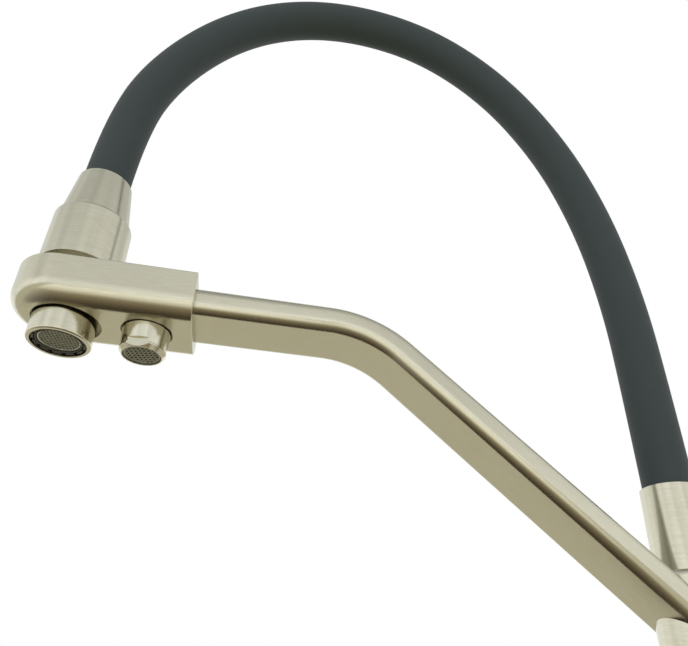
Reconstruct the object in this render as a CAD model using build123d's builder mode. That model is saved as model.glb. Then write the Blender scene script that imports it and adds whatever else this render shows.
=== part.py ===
from build123d import *
from math import acos, degrees, pi, radians, tan
import os

# Kitchen faucet with a hose spout: a fixed body on the deck carries a swivelling column. A flat arm slopes
# up from the column to the head, and a silicone hose arches over it from the column to the same head. Mixed
# water runs through the hose to the large outlet, filtered water through the arm to the small one.
# Origin on the deck at the column's axis, +Z up. The spout reaches along -X and its middle plane is Y = 0.
# The mixing handle is on the -Y side and the filtered water handle on the +Y side. Sizes are in millimetres.

os.makedirs("parts", exist_ok=True)

# Deck fixing
GASKET_R, GASKET_T = 28.0, 1.5
FLANGE_R, FLANGE_T, FLANGE_EDGE = 30.0, 7.0, 3.0
SHANK_R, SHANK_BORE_R, SHANK_BOTTOM = 16.0, 13.5, -48.0
SHANK_HOLE_R = 16.6
DECK_T = 30.0
RUBBER_WASHER_R, RUBBER_WASHER_T = 26.0, 4.0
STEEL_WASHER_R, STEEL_WASHER_T = 25.0, 2.0
NUT_ACROSS, NUT_T, NUT_CHAMFER = 46.0, 10.0, 1.2

# Body casting
BODY_R, BODY_TOP, SHOULDER_Z, SHOULDER_R = 24.0, 112.0, 97.0, 17.0
SHANK_DEPTH = 12.0
INLET_R, INLET_DEPTH, INLET_CIRCLE_R = 5.0, 12.0, 7.6
INLET_ANGLES = {"cold": 330.0, "hot": 210.0, "filtered": 90.0}
VALVE_Z = 56.0
RISER_R = 3.0
MIXED_CHAMBER_R, MIXED_CHAMBER_Z = 9.0, 64.0

# Mixing cartridge, measured outwards from the column's axis along -Y
MIXER_BOSS_R, MIXER_BOSS_END = 22.5, 44.0
CARTRIDGE_FLOOR, CARTRIDGE_R, CARTRIDGE_END = 10.0, 17.5, 36.0
CARTRIDGE_CAVITY_R, CARTRIDGE_BASE_T, CARTRIDGE_TOP_T = 14.5, 10.0, 2.2
PORT_R, PORT_X, PORT_LOW, PORT_HIGH = 2.6, 6.6, 6.8, 9.6
SEAL_R, SEAL_T = 4.2, 1.5
DISC_T, FIXED_DISC_R, MOVING_DISC_R = 3.5, 14.3, 10.0
CARRIER_T, SOCKET_R = 5.2, 3.1
ROTOR_NECK_R, ROTOR_NECK_END = 8.95, 43.5
TILT_PIVOT = 39.6
STEM_BALL = 31.0
STEM_HALF, STEM_NECK_R, STEM_END = 2.5, 1.8, 72.0
DOME_R, DOME_T, DOME_GAP = 22.0, 1.6, 0.6
DOME_HOLE_ANGLE = 34.5
MIXER_NUT_R, MIXER_NUT_T = 19.5, 6.0
PIN_R, PIN_LENGTH = 1.5, 16.0

# Mixing handle
HUB_R, HUB_RIM, HUB_END, HUB_EDGE = 19.5, 54.3, 76.0, 2.5
LEVER_S, LEVER_SEAT = 69.0, 10.0
GRUB_R, GRUB_LENGTH, GRUB_HEX = 2.5, 7.0, 2.5
LEVER_R, LEVER_TIP_R, LEVER_TOP_Z = 3.6, 4.4, 118.0

# Filtered water valve and handle, measured outwards along +Y
FILTER_BOSS_R, FILTER_BOSS_END = 16.0, 36.0
FILTER_FLOOR, FILTER_THREAD_R, FILTER_NOSE_R = 12.0, 10.5, 8.4
FILTER_SEAL_T, FILTER_CAVITY_R, FILTER_DISC_T, FILTER_DISC_R = 1.5, 7.0, 2.5, 6.9
SPINDLE_R, SPINDLE_END = 4.0, 54.0
FILTER_HUB_RIM, FILTER_HUB_END = 36.8, 58.0
FILTER_LEVER_R, FILTER_LEVER_TIP_R, FILTER_LEVER_TOP_Z = 3.0, 3.8, 106.0
FILTER_LEVER_S, FILTER_GRUB_R, FILTER_GRUB_HEX = 51.0, 2.0, 2.0
FILTER_COLLAR_R, FILTER_COLLAR_END, FILTER_NECK_R, FILTER_NECK_END = 13.0, 38.5, 7.0, 46.0
FILTER_SEAL_BORE_R, HALF_MOON_R = 4.5, 4.0
SPINDLE_GROOVE, SPINDLE_SEAL_T = 30.0, 0.8

# Swivel and column
SPIGOT_R, SPIGOT_BORE_R, SPIGOT_BOTTOM, SPIGOT_TOP = 11.0, 7.6, 86.0, 128.0
SWIVEL_BORE_R, SWIVEL_BORE_BOTTOM = 11.05, 84.0
SWIVEL_GROOVE_R, SWIVEL_SEAL_T, SWIVEL_SEAL_ZS = 9.4, 2.2, (90.0, 96.0)
RETAINING_Z, RETAINING_GROOVE_R, RETAINING_GROOVE_T = 104.0, 9.6, 3.6
RETAINING_SCREW_R, RETAINING_TIP_R, RETAINING_SCREW_LENGTH = 2.5, 1.4, 9.0
GLIDE_T, GLIDE_R = 1.0, 15.6
COLUMN_R, COLUMN_BORE_R, COLUMN_BOTTOM, COLUMN_TOP = 16.0, 13.0, 113.2, 170.0
COLUMN_WALL_TOP, COLUMN_EDGE = 160.0, 2.5

# Arm: a flattened tube that slopes up from the column and levels out into the head
ARM_WIDTH, ARM_HEIGHT, ARM_CORNER_R, ARM_WALL = 29.6, 12.0, 4.5, 1.6
ARM_FOOT_Z = 147.2
ARM_CORNER_X, ARM_Z, ARM_BEND_R = -134.9, 261.3, 50.0
ARM_END_X, BLOCK_END_X = -219.5, -208.6
PLUG_T = 9.0
FILTER_TUBE_R, FILTER_TUBE_BORE_R, FILTER_TUBE_BOTTOM, TUBE_BEND_R = 3.2, 2.1, 50.0, 24.0

# Head block
OUTLET_X, SMALL_OUTLET_X = -259.1, -226.9
BLOCK_NOSE_X, BLOCK_R, BLOCK_BOTTOM, BLOCK_TOP = -260.8, 20.0, 250.5, 270.0
BLOCK_EDGE, BLOCK_TOP_EDGE, BLOCK_END_EDGE = 8.0, 0.5, 0.4
RECESS_X, RECESS_R, RECESS_DEPTH = -258.4, 13.6, 4.0
SMALL_RECESS_R, SMALL_RECESS_DEPTH = 10.45, 3.0
TAIL_THREAD_R, SMALL_THREAD_R = 8.5, 5.0
CHANNEL_R, SMALL_CHANNEL_R = 6.0, 3.3

# Outlets
SHELL_R, SHELL_BOTTOM, SHELL_TOP, SHELL_THREAD_R, SHELL_LIP_R = 12.3, 240.7, 253.2, 11.0, 10.7
SHELL_EDGE, NIPPLE_THREAD = 0.7, 7.0
LIP_TOP, INSERT_BOTTOM, INSERT_TOP, INSERT_FLANGE_R = 243.6, 241.4, 245.2, 10.95
INSERT_R, INSERT_NOTCHES, NOTCH_DEPTH, NOTCH_WIDTH = 10.2, 12, 1.0, 1.8
RIM_GROOVE_R, RIM_GROOVE_INNER_R, RIM_GROOVE_DEPTH = 9.4, 8.8, 1.2
MESH_R, MESH_OPEN_R, MESH_SEAT, MESH_T, MESH_PITCH, MESH_HOLE = 8.45, 7.4, 1.2, 0.5, 2.6, 1.9
SMALL_RIM_R, SMALL_FLANGE_R, SMALL_NECK_R, SMALL_BODY_R = 8.05, 9.3, 9.05, 9.8
SMALL_BOTTOM, SMALL_FLANGE_Z, SMALL_FLANGE_TOP, SMALL_NECK_Z = 239.5, 241.0, 241.6, 241.9
SMALL_BODY_Z, SMALL_TOP = 250.5, 252.3
SMALL_LIP_R, SMALL_LIP_TOP, SMALL_THREAD_MALE_R = 7.6, 244.6, 8.25
SMALL_FLAT, SMALL_FLAT_HEIGHT, SMALL_FLAT_ANGLE = 8.15, 4.05, -99.0
SMALL_INSERT_R, SMALL_INSERT_FLANGE_R, SMALL_INSERT_BOTTOM = 7.55, 8.2, 240.1
SMALL_INSERT_TOP, SMALL_NIPPLE_BOTTOM = 245.8, 246.9
SMALL_MESH_R, SMALL_OPEN_R = 7.3, 6.6

# Hose and its end fittings
HOSE_R, HOSE_BORE_R = 10.3, 7.1
LINER_R, LINER_BORE_R = 6.3, 4.5
HOSE_FOOT_Z, HOSE_HEAD_Z = 190.0, 306.0
BODY_FERRULE_R, BODY_FERRULE_TOP_R, BODY_FERRULE_TOP = 12.45, 11.7, 205.0
COLLAR_BOTTOM, COLLAR_TOP, COLLAR_R, COLLAR_TOP_R = 274.65, 301.5, 16.65, 16.25
CONE_R, CONE_TOP_R, CONE_TOP = 14.74, 11.71, 324.8
COLLAR_EDGE = 1.5
SKIRT_R, SKIRT_BOTTOM = 13.2, 290.0
NECK_R, NECK_TOP, TAIL_THREAD = 11.5, 281.0, 7.5
BODY_TAIL_R, TAIL_FLANGE_R, TAIL_FLANGE_TOP = 8.0, 9.8, 173.5
BARB_R, BARB_BORE_R, BARB_LENGTH = 4.5, 3.3, 21.0
CRIMP_R, CRIMP_LENGTH = 6.9, 11.0

# Route of the hose in the plane Y = 0, from the column's ferrule over the top and down into the head
HOSE_ROUTE = [
    (0.0, HOSE_FOOT_Z),
    (0.0, 249.0),
    (-1.2, 303.0),
    (-9.5, 357.0),
    (-27.5, 408.5),
    (-60.5, 456.0),
    (-107.0, 486.0),
    (-163.5, 489.0),
    (-211.5, 463.5),
    (-246.0, 413.5),
    (OUTLET_X, 361.5),
    (OUTLET_X, HOSE_HEAD_Z),
]


def mixer_plane(distance):
    """Plane across the mixing cartridge's axis, at a distance from the column's axis, facing outwards."""
    return Plane(origin=(0, -distance, VALVE_Z), x_dir=(1, 0, 0), z_dir=(0, -1, 0))


def filter_plane(distance):
    """Plane across the filtered water valve's axis, facing outwards."""
    return Plane(origin=(0, distance, VALVE_Z), x_dir=(-1, 0, 0), z_dir=(0, 1, 0))


def outlet_plane(x, z):
    """Level plane over an outlet's axis."""
    return Plane(origin=(x, 0, z), x_dir=(1, 0, 0), z_dir=(0, 0, 1))


def between(start, end):
    """Plane at start that faces end, and the distance between them."""
    way = Vector(*end) - Vector(*start)
    return Plane(origin=start, z_dir=way), way.length


# Sections through the two valve axes: local x runs outwards from the column, local y is the radius
MIXER_SECTION = Plane(origin=(0, 0, VALVE_Z), x_dir=(0, -1, 0), z_dir=(-1, 0, 0))
FILTER_SECTION = Plane(origin=(0, 0, VALVE_Z), x_dir=(0, 1, 0), z_dir=(1, 0, 0))
MIXER_AXIS = Axis((0, 0, VALVE_Z), (0, -1, 0))
FILTER_AXIS = Axis((0, 0, VALVE_Z), (0, 1, 0))

# Heights and distances that follow from the sizes above
BODY_BOTTOM = GASKET_T + FLANGE_T
INLET_FLOOR = BODY_BOTTOM + SHANK_DEPTH
INLET_TOP = INLET_FLOOR + INLET_DEPTH
CAVITY_FLOOR = CARTRIDGE_FLOOR + CARTRIDGE_BASE_T
MOVING_DISC_FLOOR = CAVITY_FLOOR + DISC_T
CARRIER_FLOOR = MOVING_DISC_FLOOR + DISC_T
ROTOR_FLOOR = CARRIER_FLOOR + CARRIER_T + 0.3
ROTOR_FLANGE_END = CARTRIDGE_END - CARTRIDGE_TOP_T
NOSE_START = FILTER_FLOOR + FILTER_SEAL_T
FILTER_MOVING_DISC = NOSE_START + FILTER_DISC_T
NOSE_END, CAVITY_END = 22.0, 21.3


# Rubber gasket under the base flange
with BuildPart() as base_gasket:
    with BuildSketch(Plane.XY):
        Circle(GASKET_R)
        Circle(SHANK_HOLE_R, mode=Mode.SUBTRACT)
    extrude(amount=GASKET_T)
base_gasket.part.label = "base_gasket"
export_step(base_gasket.part, "parts/base_gasket.step")

# Turned base flange with a rounded upper edge
with BuildPart() as base_flange:
    with BuildSketch(Plane.XY.offset(GASKET_T)):
        Circle(FLANGE_R)
        Circle(SHANK_HOLE_R, mode=Mode.SUBTRACT)
    extrude(amount=FLANGE_T)
    fillet(base_flange.faces().sort_by(Axis.Z)[-1].edges().sort_by(SortBy.LENGTH)[-1], FLANGE_EDGE)
base_flange.part.label = "base_flange"
export_step(base_flange.part, "parts/base_flange.step")

# Hollow threaded shank, screwed into the body and reaching down through the deck's hole
with BuildPart() as threaded_shank:
    with BuildSketch(Plane.XY.offset(SHANK_BOTTOM)):
        Circle(SHANK_R)
        Circle(SHANK_BORE_R, mode=Mode.SUBTRACT)
    extrude(amount=INLET_FLOOR - SHANK_BOTTOM)
    chamfer(threaded_shank.faces().sort_by(Axis.Z)[0].edges().sort_by(SortBy.LENGTH)[-1], 1.0)
threaded_shank.part.label = "threaded_shank"
export_step(threaded_shank.part, "parts/threaded_shank.step")

# Rubber and steel washers and the nut that clamp a deck 30 mm thick
with BuildPart() as rubber_washer:
    with BuildSketch(Plane.XY.offset(-DECK_T)):
        Circle(RUBBER_WASHER_R)
        Circle(SHANK_HOLE_R, mode=Mode.SUBTRACT)
    extrude(amount=-RUBBER_WASHER_T)
rubber_washer.part.label = "rubber_washer"
export_step(rubber_washer.part, "parts/rubber_washer.step")

with BuildPart() as steel_washer:
    with BuildSketch(Plane.XY.offset(-DECK_T - RUBBER_WASHER_T)):
        Circle(STEEL_WASHER_R)
        Circle(SHANK_HOLE_R, mode=Mode.SUBTRACT)
    extrude(amount=-STEEL_WASHER_T)
steel_washer.part.label = "steel_washer"
export_step(steel_washer.part, "parts/steel_washer.step")

NUT_TOP = -DECK_T - RUBBER_WASHER_T - STEEL_WASHER_T
with BuildPart() as shank_nut:
    with BuildSketch(Plane.XY.offset(NUT_TOP)):
        RegularPolygon(NUT_ACROSS / 2, 6, major_radius=False)
        Circle(SHANK_R, mode=Mode.SUBTRACT)
    extrude(amount=-NUT_T)
    chamfer(shank_nut.edges().filter_by(GeomType.LINE).filter_by(Plane.XY), NUT_CHAMFER)
shank_nut.part.label = "shank_nut"
export_step(shank_nut.part, "parts/shank_nut.step")

# Body casting: a column with a rounded shoulder and a boss on each side, and the water ways inside it
with BuildPart() as mixer_body:
    with BuildSketch(Plane.XZ):
        with BuildLine():
            Polyline((0, BODY_TOP), (0, BODY_BOTTOM), (BODY_R, BODY_BOTTOM), (BODY_R, SHOULDER_Z))
            TangentArc((BODY_R, SHOULDER_Z), (SHOULDER_R, BODY_TOP), tangent=(0, 1))
            Line((SHOULDER_R, BODY_TOP), (0, BODY_TOP))
        make_face()
    revolve(axis=Axis.Z)
    with BuildSketch(mixer_plane(0)):
        Circle(MIXER_BOSS_R)
    extrude(amount=MIXER_BOSS_END)
    with BuildSketch(filter_plane(0)):
        Circle(FILTER_BOSS_R)
    extrude(amount=FILTER_BOSS_END)
    # Seat of the shank and the three threaded inlets above it
    with BuildSketch(Plane.XY.offset(BODY_BOTTOM)):
        Circle(SHANK_R)
    extrude(amount=SHANK_DEPTH, mode=Mode.SUBTRACT)
    for angle in INLET_ANGLES.values():
        with BuildSketch(Plane.XY.offset(INLET_FLOOR)):
            with PolarLocations(INLET_CIRCLE_R, 1, start_angle=angle):
                Circle(INLET_R)
        extrude(amount=INLET_DEPTH, mode=Mode.SUBTRACT)
    # Cartridge chamber, with a wider thread at its mouth for the retaining nut
    with BuildSketch(mixer_plane(CARTRIDGE_FLOOR)):
        Circle(CARTRIDGE_R)
    extrude(amount=MIXER_BOSS_END - CARTRIDGE_FLOOR, mode=Mode.SUBTRACT)
    with BuildSketch(mixer_plane(CARTRIDGE_END)):
        Circle(MIXER_NUT_R)
    extrude(amount=MIXER_BOSS_END - CARTRIDGE_END, mode=Mode.SUBTRACT)
    # Valve chamber on the filtered water side
    with BuildSketch(filter_plane(FILTER_FLOOR)):
        Circle(FILTER_THREAD_R)
    extrude(amount=FILTER_BOSS_END - FILTER_FLOOR, mode=Mode.SUBTRACT)
    # Mixed water chamber and the bore that the spout turns in
    with BuildSketch(Plane.XY.offset(MIXED_CHAMBER_Z)):
        Circle(MIXED_CHAMBER_R)
    extrude(amount=SWIVEL_BORE_BOTTOM - MIXED_CHAMBER_Z, mode=Mode.SUBTRACT)
    with BuildSketch(Plane.XY.offset(SWIVEL_BORE_BOTTOM)):
        Circle(SWIVEL_BORE_R)
    extrude(amount=BODY_TOP - SWIVEL_BORE_BOTTOM, mode=Mode.SUBTRACT)
    # Socket for the foot of the filtered water tube
    with BuildSketch(Plane.XY.offset(FILTER_TUBE_BOTTOM - 1)):
        Circle(FILTER_TUBE_R + 0.05)
    extrude(amount=MIXED_CHAMBER_Z - FILTER_TUBE_BOTTOM + 1, mode=Mode.SUBTRACT)
    # Drilled ways: hot and cold up to the cartridge, mixed water back, filtered water to its valve and back
    port_low_z, port_high_z = VALVE_Z - PORT_LOW, VALVE_Z + PORT_HIGH
    riser_y = -INLET_CIRCLE_R / 2
    drillings = [
        ((PORT_X, riser_y, INLET_TOP - 1), (PORT_X, riser_y, port_low_z + RISER_R + 1), RISER_R),
        ((-PORT_X, riser_y, INLET_TOP - 1), (-PORT_X, riser_y, port_low_z + RISER_R + 1), RISER_R),
        ((PORT_X, -CARTRIDGE_FLOOR, port_low_z), (PORT_X, riser_y, port_low_z), PORT_R),
        ((-PORT_X, -CARTRIDGE_FLOOR, port_low_z), (-PORT_X, riser_y, port_low_z), PORT_R),
        ((0, -CARTRIDGE_FLOOR, port_high_z + 1.5), (0, 0, port_high_z + 1.5), PORT_R),
        ((0, INLET_CIRCLE_R, INLET_TOP - 1), (0, FILTER_FLOOR + 2, VALVE_Z - FILTER_THREAD_R + 1), 2.0),
        ((0, FILTER_FLOOR, VALVE_Z), (0, 0, VALVE_Z), 2.2),
    ]
    for start, end, radius in drillings:
        plane, length = between(start, end)
        with BuildSketch(plane):
            Circle(radius)
        extrude(amount=length, mode=Mode.SUBTRACT)
    # Thread of the screw that keeps the spout's spigot in
    with BuildSketch(Plane.YZ.offset(RETAINING_GROOVE_R)):
        with Locations((0, RETAINING_Z)):
            Circle(RETAINING_SCREW_R)
    extrude(amount=BODY_R - RETAINING_GROOVE_R, mode=Mode.SUBTRACT)
mixer_body.part.label = "mixer_body"
export_step(mixer_body.part, "parts/mixer_body.step")

# Cartridge housing: a plastic cup with two inlet ports and one outlet port in its base
PORTS = [(PORT_X, -PORT_LOW), (-PORT_X, -PORT_LOW), (0, PORT_HIGH)]
with BuildPart() as cartridge_housing:
    with BuildSketch(mixer_plane(CARTRIDGE_FLOOR)):
        Circle(CARTRIDGE_R)
    extrude(amount=CARTRIDGE_END - CARTRIDGE_FLOOR)
    with BuildSketch(mixer_plane(CAVITY_FLOOR)):
        Circle(CARTRIDGE_CAVITY_R)
    extrude(amount=ROTOR_FLANGE_END - CAVITY_FLOOR, mode=Mode.SUBTRACT)
    with BuildSketch(mixer_plane(ROTOR_FLANGE_END)):
        Circle(ROTOR_NECK_R + 0.05)
    extrude(amount=CARTRIDGE_TOP_T, mode=Mode.SUBTRACT)
    with BuildSketch(mixer_plane(CARTRIDGE_FLOOR)):
        with Locations(*PORTS):
            Circle(PORT_R)
    extrude(amount=CARTRIDGE_BASE_T, mode=Mode.SUBTRACT)
    with BuildSketch(mixer_plane(CARTRIDGE_FLOOR)):
        with Locations(*PORTS):
            Circle(SEAL_R)
    extrude(amount=SEAL_T, mode=Mode.SUBTRACT)
cartridge_housing.part.label = "cartridge_housing"
export_step(cartridge_housing.part, "parts/cartridge_housing.step")

# Three port seals pressed between the cartridge's base and the casting
with BuildPart() as cartridge_port_seals:
    with BuildSketch(mixer_plane(CARTRIDGE_FLOOR)):
        with Locations(*PORTS):
            Circle(SEAL_R)
        with Locations(*PORTS):
            Circle(PORT_R, mode=Mode.SUBTRACT)
    extrude(amount=SEAL_T)
cartridge_port_seals.part.label = "cartridge_port_seals"
export_step(cartridge_port_seals.part, "parts/cartridge_port_seals.step")

# Fixed ceramic disc with the same three ports
with BuildPart() as fixed_ceramic_disc:
    with BuildSketch(mixer_plane(CAVITY_FLOOR)):
        Circle(FIXED_DISC_R)
        with Locations(*PORTS):
            Circle(PORT_R, mode=Mode.SUBTRACT)
    extrude(amount=DISC_T)
fixed_ceramic_disc.part.label = "fixed_ceramic_disc"
export_step(fixed_ceramic_disc.part, "parts/fixed_ceramic_disc.step")

# Moving ceramic disc, which slides and turns on the fixed one and joins its ports through a pocket
with BuildPart() as moving_ceramic_disc:
    with BuildSketch(mixer_plane(MOVING_DISC_FLOOR)):
        Circle(MOVING_DISC_R)
    extrude(amount=DISC_T)
    with BuildSketch(mixer_plane(MOVING_DISC_FLOOR)):
        with Locations((0, 1.5)):
            Circle(6.5)
    extrude(amount=DISC_T / 2, mode=Mode.SUBTRACT)
moving_ceramic_disc.part.label = "moving_ceramic_disc"
export_step(moving_ceramic_disc.part, "parts/moving_ceramic_disc.step")

# Carrier on the moving disc, with the socket that the stem's ball pushes
with BuildPart() as disc_carrier:
    with BuildSketch(mixer_plane(CARRIER_FLOOR)):
        Circle(MOVING_DISC_R)
    extrude(amount=CARRIER_T)
    with BuildSketch(mixer_plane(CARRIER_FLOOR + 1)):
        Circle(SOCKET_R)
    extrude(amount=CARRIER_T - 1, mode=Mode.SUBTRACT)
disc_carrier.part.label = "disc_carrier"
export_step(disc_carrier.part, "parts/disc_carrier.step")

# Rotor: turns in the housing's mouth, slotted for the stem's swing and drilled for its pin
SLOT_HALF = STEM_HALF + 0.2
with BuildPart() as cartridge_rotor:
    with BuildSketch(MIXER_SECTION):
        with BuildLine():
            Polyline(
                (ROTOR_FLOOR, 0),
                (ROTOR_FLOOR, CARTRIDGE_CAVITY_R - 0.05),
                (ROTOR_FLANGE_END, CARTRIDGE_CAVITY_R - 0.05),
                (ROTOR_FLANGE_END, ROTOR_NECK_R),
                (ROTOR_NECK_END, ROTOR_NECK_R),
                (ROTOR_NECK_END, 0),
                close=True,
            )
        make_face()
    revolve(axis=MIXER_AXIS)
    with BuildSketch(mixer_plane(ROTOR_FLOOR)):
        with Locations((0, 0.6)):
            Rectangle(2 * SLOT_HALF, 12.0)
    extrude(amount=ROTOR_NECK_END - ROTOR_FLOOR, mode=Mode.SUBTRACT)
    with BuildSketch(Plane.YZ.offset(-ROTOR_NECK_R)):
        with Locations((-TILT_PIVOT, VALVE_Z)):
            Circle(1.5)
    extrude(amount=2 * ROTOR_NECK_R, mode=Mode.SUBTRACT)
cartridge_rotor.part.label = "cartridge_rotor"
export_step(cartridge_rotor.part, "parts/cartridge_rotor.step")

# Steel pin across the rotor that the stem tilts on
with BuildPart() as stem_pivot_pin:
    with BuildSketch(Plane.YZ.offset(-PIN_LENGTH / 2)):
        with Locations((-TILT_PIVOT, VALVE_Z)):
            Circle(PIN_R)
    extrude(amount=PIN_LENGTH)
stem_pivot_pin.part.label = "stem_pivot_pin"
export_step(stem_pivot_pin.part, "parts/stem_pivot_pin.step")

# Threaded ring that holds the cartridge down
with BuildPart() as cartridge_nut:
    with BuildSketch(mixer_plane(CARTRIDGE_END)):
        Circle(MIXER_NUT_R)
        RegularPolygon(10.5, 6, major_radius=False, mode=Mode.SUBTRACT)
    extrude(amount=MIXER_NUT_T)
cartridge_nut.part.label = "cartridge_nut"
export_step(cartridge_nut.part, "parts/cartridge_nut.step")

# Spherical cover over the cartridge, centred on the tilt axis, with a hole for the stem
DOME_BASE = MIXER_BOSS_END - TILT_PIVOT
DOME_INNER_R = DOME_R - DOME_T
with BuildPart() as mixer_dome_cover:
    with BuildSketch(MIXER_SECTION):
        with BuildLine():
            outer_sweep = degrees(acos(DOME_BASE / DOME_R)) - DOME_HOLE_ANGLE
            inner_sweep = degrees(acos(DOME_BASE / DOME_INNER_R)) - DOME_HOLE_ANGLE
            outer_arc = CenterArc((TILT_PIVOT, 0), DOME_R, DOME_HOLE_ANGLE, outer_sweep)
            inner_arc = CenterArc((TILT_PIVOT, 0), DOME_INNER_R, DOME_HOLE_ANGLE, inner_sweep)
            Line(outer_arc @ 0, inner_arc @ 0)
            Line(outer_arc @ 1, inner_arc @ 1)
        make_face()
    revolve(axis=MIXER_AXIS)
mixer_dome_cover.part.label = "mixer_dome_cover"
export_step(mixer_dome_cover.part, "parts/mixer_dome_cover.step")

# Stem: a ball in the carrier's socket, a thin neck, and a square blade over the pivot and into the handle
NECK_END = STEM_BALL + 4.0
with BuildPart() as cartridge_stem:
    with BuildSketch(mixer_plane(NECK_END)):
        Rectangle(2 * STEM_HALF, 2 * STEM_HALF)
    extrude(amount=STEM_END - NECK_END)
    with BuildSketch(mixer_plane(STEM_BALL)):
        Circle(STEM_NECK_R)
    extrude(amount=NECK_END - STEM_BALL)
    with Locations((0, -STEM_BALL, VALVE_Z)):
        Sphere(STEM_HALF)
    with BuildSketch(Plane.YZ.offset(-STEM_HALF)):
        with Locations((-TILT_PIVOT, VALVE_Z)):
            Circle(PIN_R + 0.05)
    extrude(amount=2 * STEM_HALF, mode=Mode.SUBTRACT)
cartridge_stem.part.label = "cartridge_stem"
export_step(cartridge_stem.part, "parts/cartridge_stem.step")

# Handle hub: turned, hollowed to clear the dome, with a square socket, a lever thread and a grub screw thread
with BuildPart() as mixer_handle_hub:
    with BuildSketch(mixer_plane(HUB_RIM)):
        Circle(HUB_R)
    extrude(amount=HUB_END - HUB_RIM)
    fillet(mixer_handle_hub.faces().sort_by(Axis.Y)[0].edges(), HUB_EDGE)
    with Locations((0, -TILT_PIVOT, VALVE_Z)):
        Sphere(DOME_R + DOME_GAP, mode=Mode.SUBTRACT)
    with BuildSketch(mixer_plane(HUB_RIM)):
        Rectangle(2 * STEM_HALF, 2 * STEM_HALF)
    extrude(amount=STEM_END - HUB_RIM, mode=Mode.SUBTRACT)
    with BuildSketch(Plane.XY.offset(VALVE_Z + LEVER_SEAT)):
        with Locations((0, -LEVER_S)):
            Circle(LEVER_R)
    extrude(amount=HUB_R, mode=Mode.SUBTRACT)
    with BuildSketch(Plane.XY.offset(VALVE_Z)):
        with Locations((0, -LEVER_S)):
            Circle(GRUB_R)
    extrude(amount=-HUB_R, mode=Mode.SUBTRACT)
mixer_handle_hub.part.label = "mixer_handle_hub"
export_step(mixer_handle_hub.part, "parts/mixer_handle_hub.step")

# Lever: a slim rod that widens towards its rounded tip and stands upright when the water is off
with BuildPart() as mixer_lever:
    with BuildSketch(Plane(origin=(0, -LEVER_S, 0), x_dir=(1, 0, 0), z_dir=(0, -1, 0))):
        with BuildLine():
            Polyline(
                (0, VALVE_Z + LEVER_SEAT),
                (LEVER_R, VALVE_Z + LEVER_SEAT),
                (LEVER_R, VALVE_Z + HUB_R),
                (LEVER_TIP_R, LEVER_TOP_Z - LEVER_TIP_R),
            )
            CenterArc((0, LEVER_TOP_Z - LEVER_TIP_R), LEVER_TIP_R, 0, 90)
            Line((0, LEVER_TOP_Z), (0, VALVE_Z + LEVER_SEAT))
        make_face()
    revolve(axis=Axis((0, -LEVER_S, 0), (0, 0, 1)))
mixer_lever.part.label = "mixer_lever"
export_step(mixer_lever.part, "parts/mixer_lever.step")

# Grub screw that grips the stem from below, and the plain plug that hides it
with BuildPart() as mixer_grub_screw:
    with BuildSketch(Plane.XY.offset(VALVE_Z - STEM_HALF)):
        with Locations((0, -LEVER_S)):
            Circle(GRUB_R)
    extrude(amount=-GRUB_LENGTH)
    with BuildSketch(Plane.XY.offset(VALVE_Z - STEM_HALF - GRUB_LENGTH)):
        with Locations((0, -LEVER_S)):
            RegularPolygon(GRUB_HEX / 2, 6, major_radius=False)
    extrude(amount=3.0, mode=Mode.SUBTRACT)
mixer_grub_screw.part.label = "mixer_grub_screw"
export_step(mixer_grub_screw.part, "parts/mixer_grub_screw.step")

with BuildPart() as mixer_screw_plug:
    with BuildSketch(Plane.XY.offset(VALVE_Z - HUB_R + 3.2)):
        with Locations((0, -LEVER_S)):
            Circle(GRUB_R)
    extrude(amount=-3.0)
mixer_screw_plug.part.label = "mixer_screw_plug"
export_step(mixer_screw_plug.part, "parts/mixer_screw_plug.step")

# Seat seal at the floor of the filtered water valve's chamber
with BuildPart() as filter_seat_seal:
    with BuildSketch(filter_plane(FILTER_FLOOR)):
        Circle(FILTER_NOSE_R)
        Circle(FILTER_SEAL_BORE_R, mode=Mode.SUBTRACT)
    extrude(amount=FILTER_SEAL_T)
filter_seat_seal.part.label = "filter_seat_seal"
export_step(filter_seat_seal.part, "parts/filter_seat_seal.step")

# Brass valve body: a windowed nose round the discs, a thread in the boss, a collar on its face and a neck
with BuildPart() as filter_valve_body:
    with BuildSketch(FILTER_SECTION):
        with BuildLine():
            Polyline(
                (NOSE_START, FILTER_CAVITY_R),
                (NOSE_START, FILTER_NOSE_R),
                (NOSE_END, FILTER_NOSE_R),
                (NOSE_END, FILTER_THREAD_R),
                (FILTER_BOSS_END, FILTER_THREAD_R),
                (FILTER_BOSS_END, FILTER_COLLAR_R),
                (FILTER_COLLAR_END, FILTER_COLLAR_R),
                (FILTER_COLLAR_END, FILTER_NECK_R),
                (FILTER_NECK_END, FILTER_NECK_R),
                (FILTER_NECK_END, SPINDLE_R + 0.05),
                (CAVITY_END, SPINDLE_R + 0.05),
                (CAVITY_END, FILTER_CAVITY_R),
                close=True,
            )
        make_face()
    revolve(axis=FILTER_AXIS)
    with BuildSketch(Plane.YZ.offset(-FILTER_NOSE_R)):
        with Locations((FILTER_MOVING_DISC + FILTER_DISC_T / 2, VALVE_Z)):
            Rectangle(FILTER_DISC_T - 0.5, 5.0)
    extrude(amount=2 * FILTER_NOSE_R, mode=Mode.SUBTRACT)
filter_valve_body.part.label = "filter_valve_body"
export_step(filter_valve_body.part, "parts/filter_valve_body.step")

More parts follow.
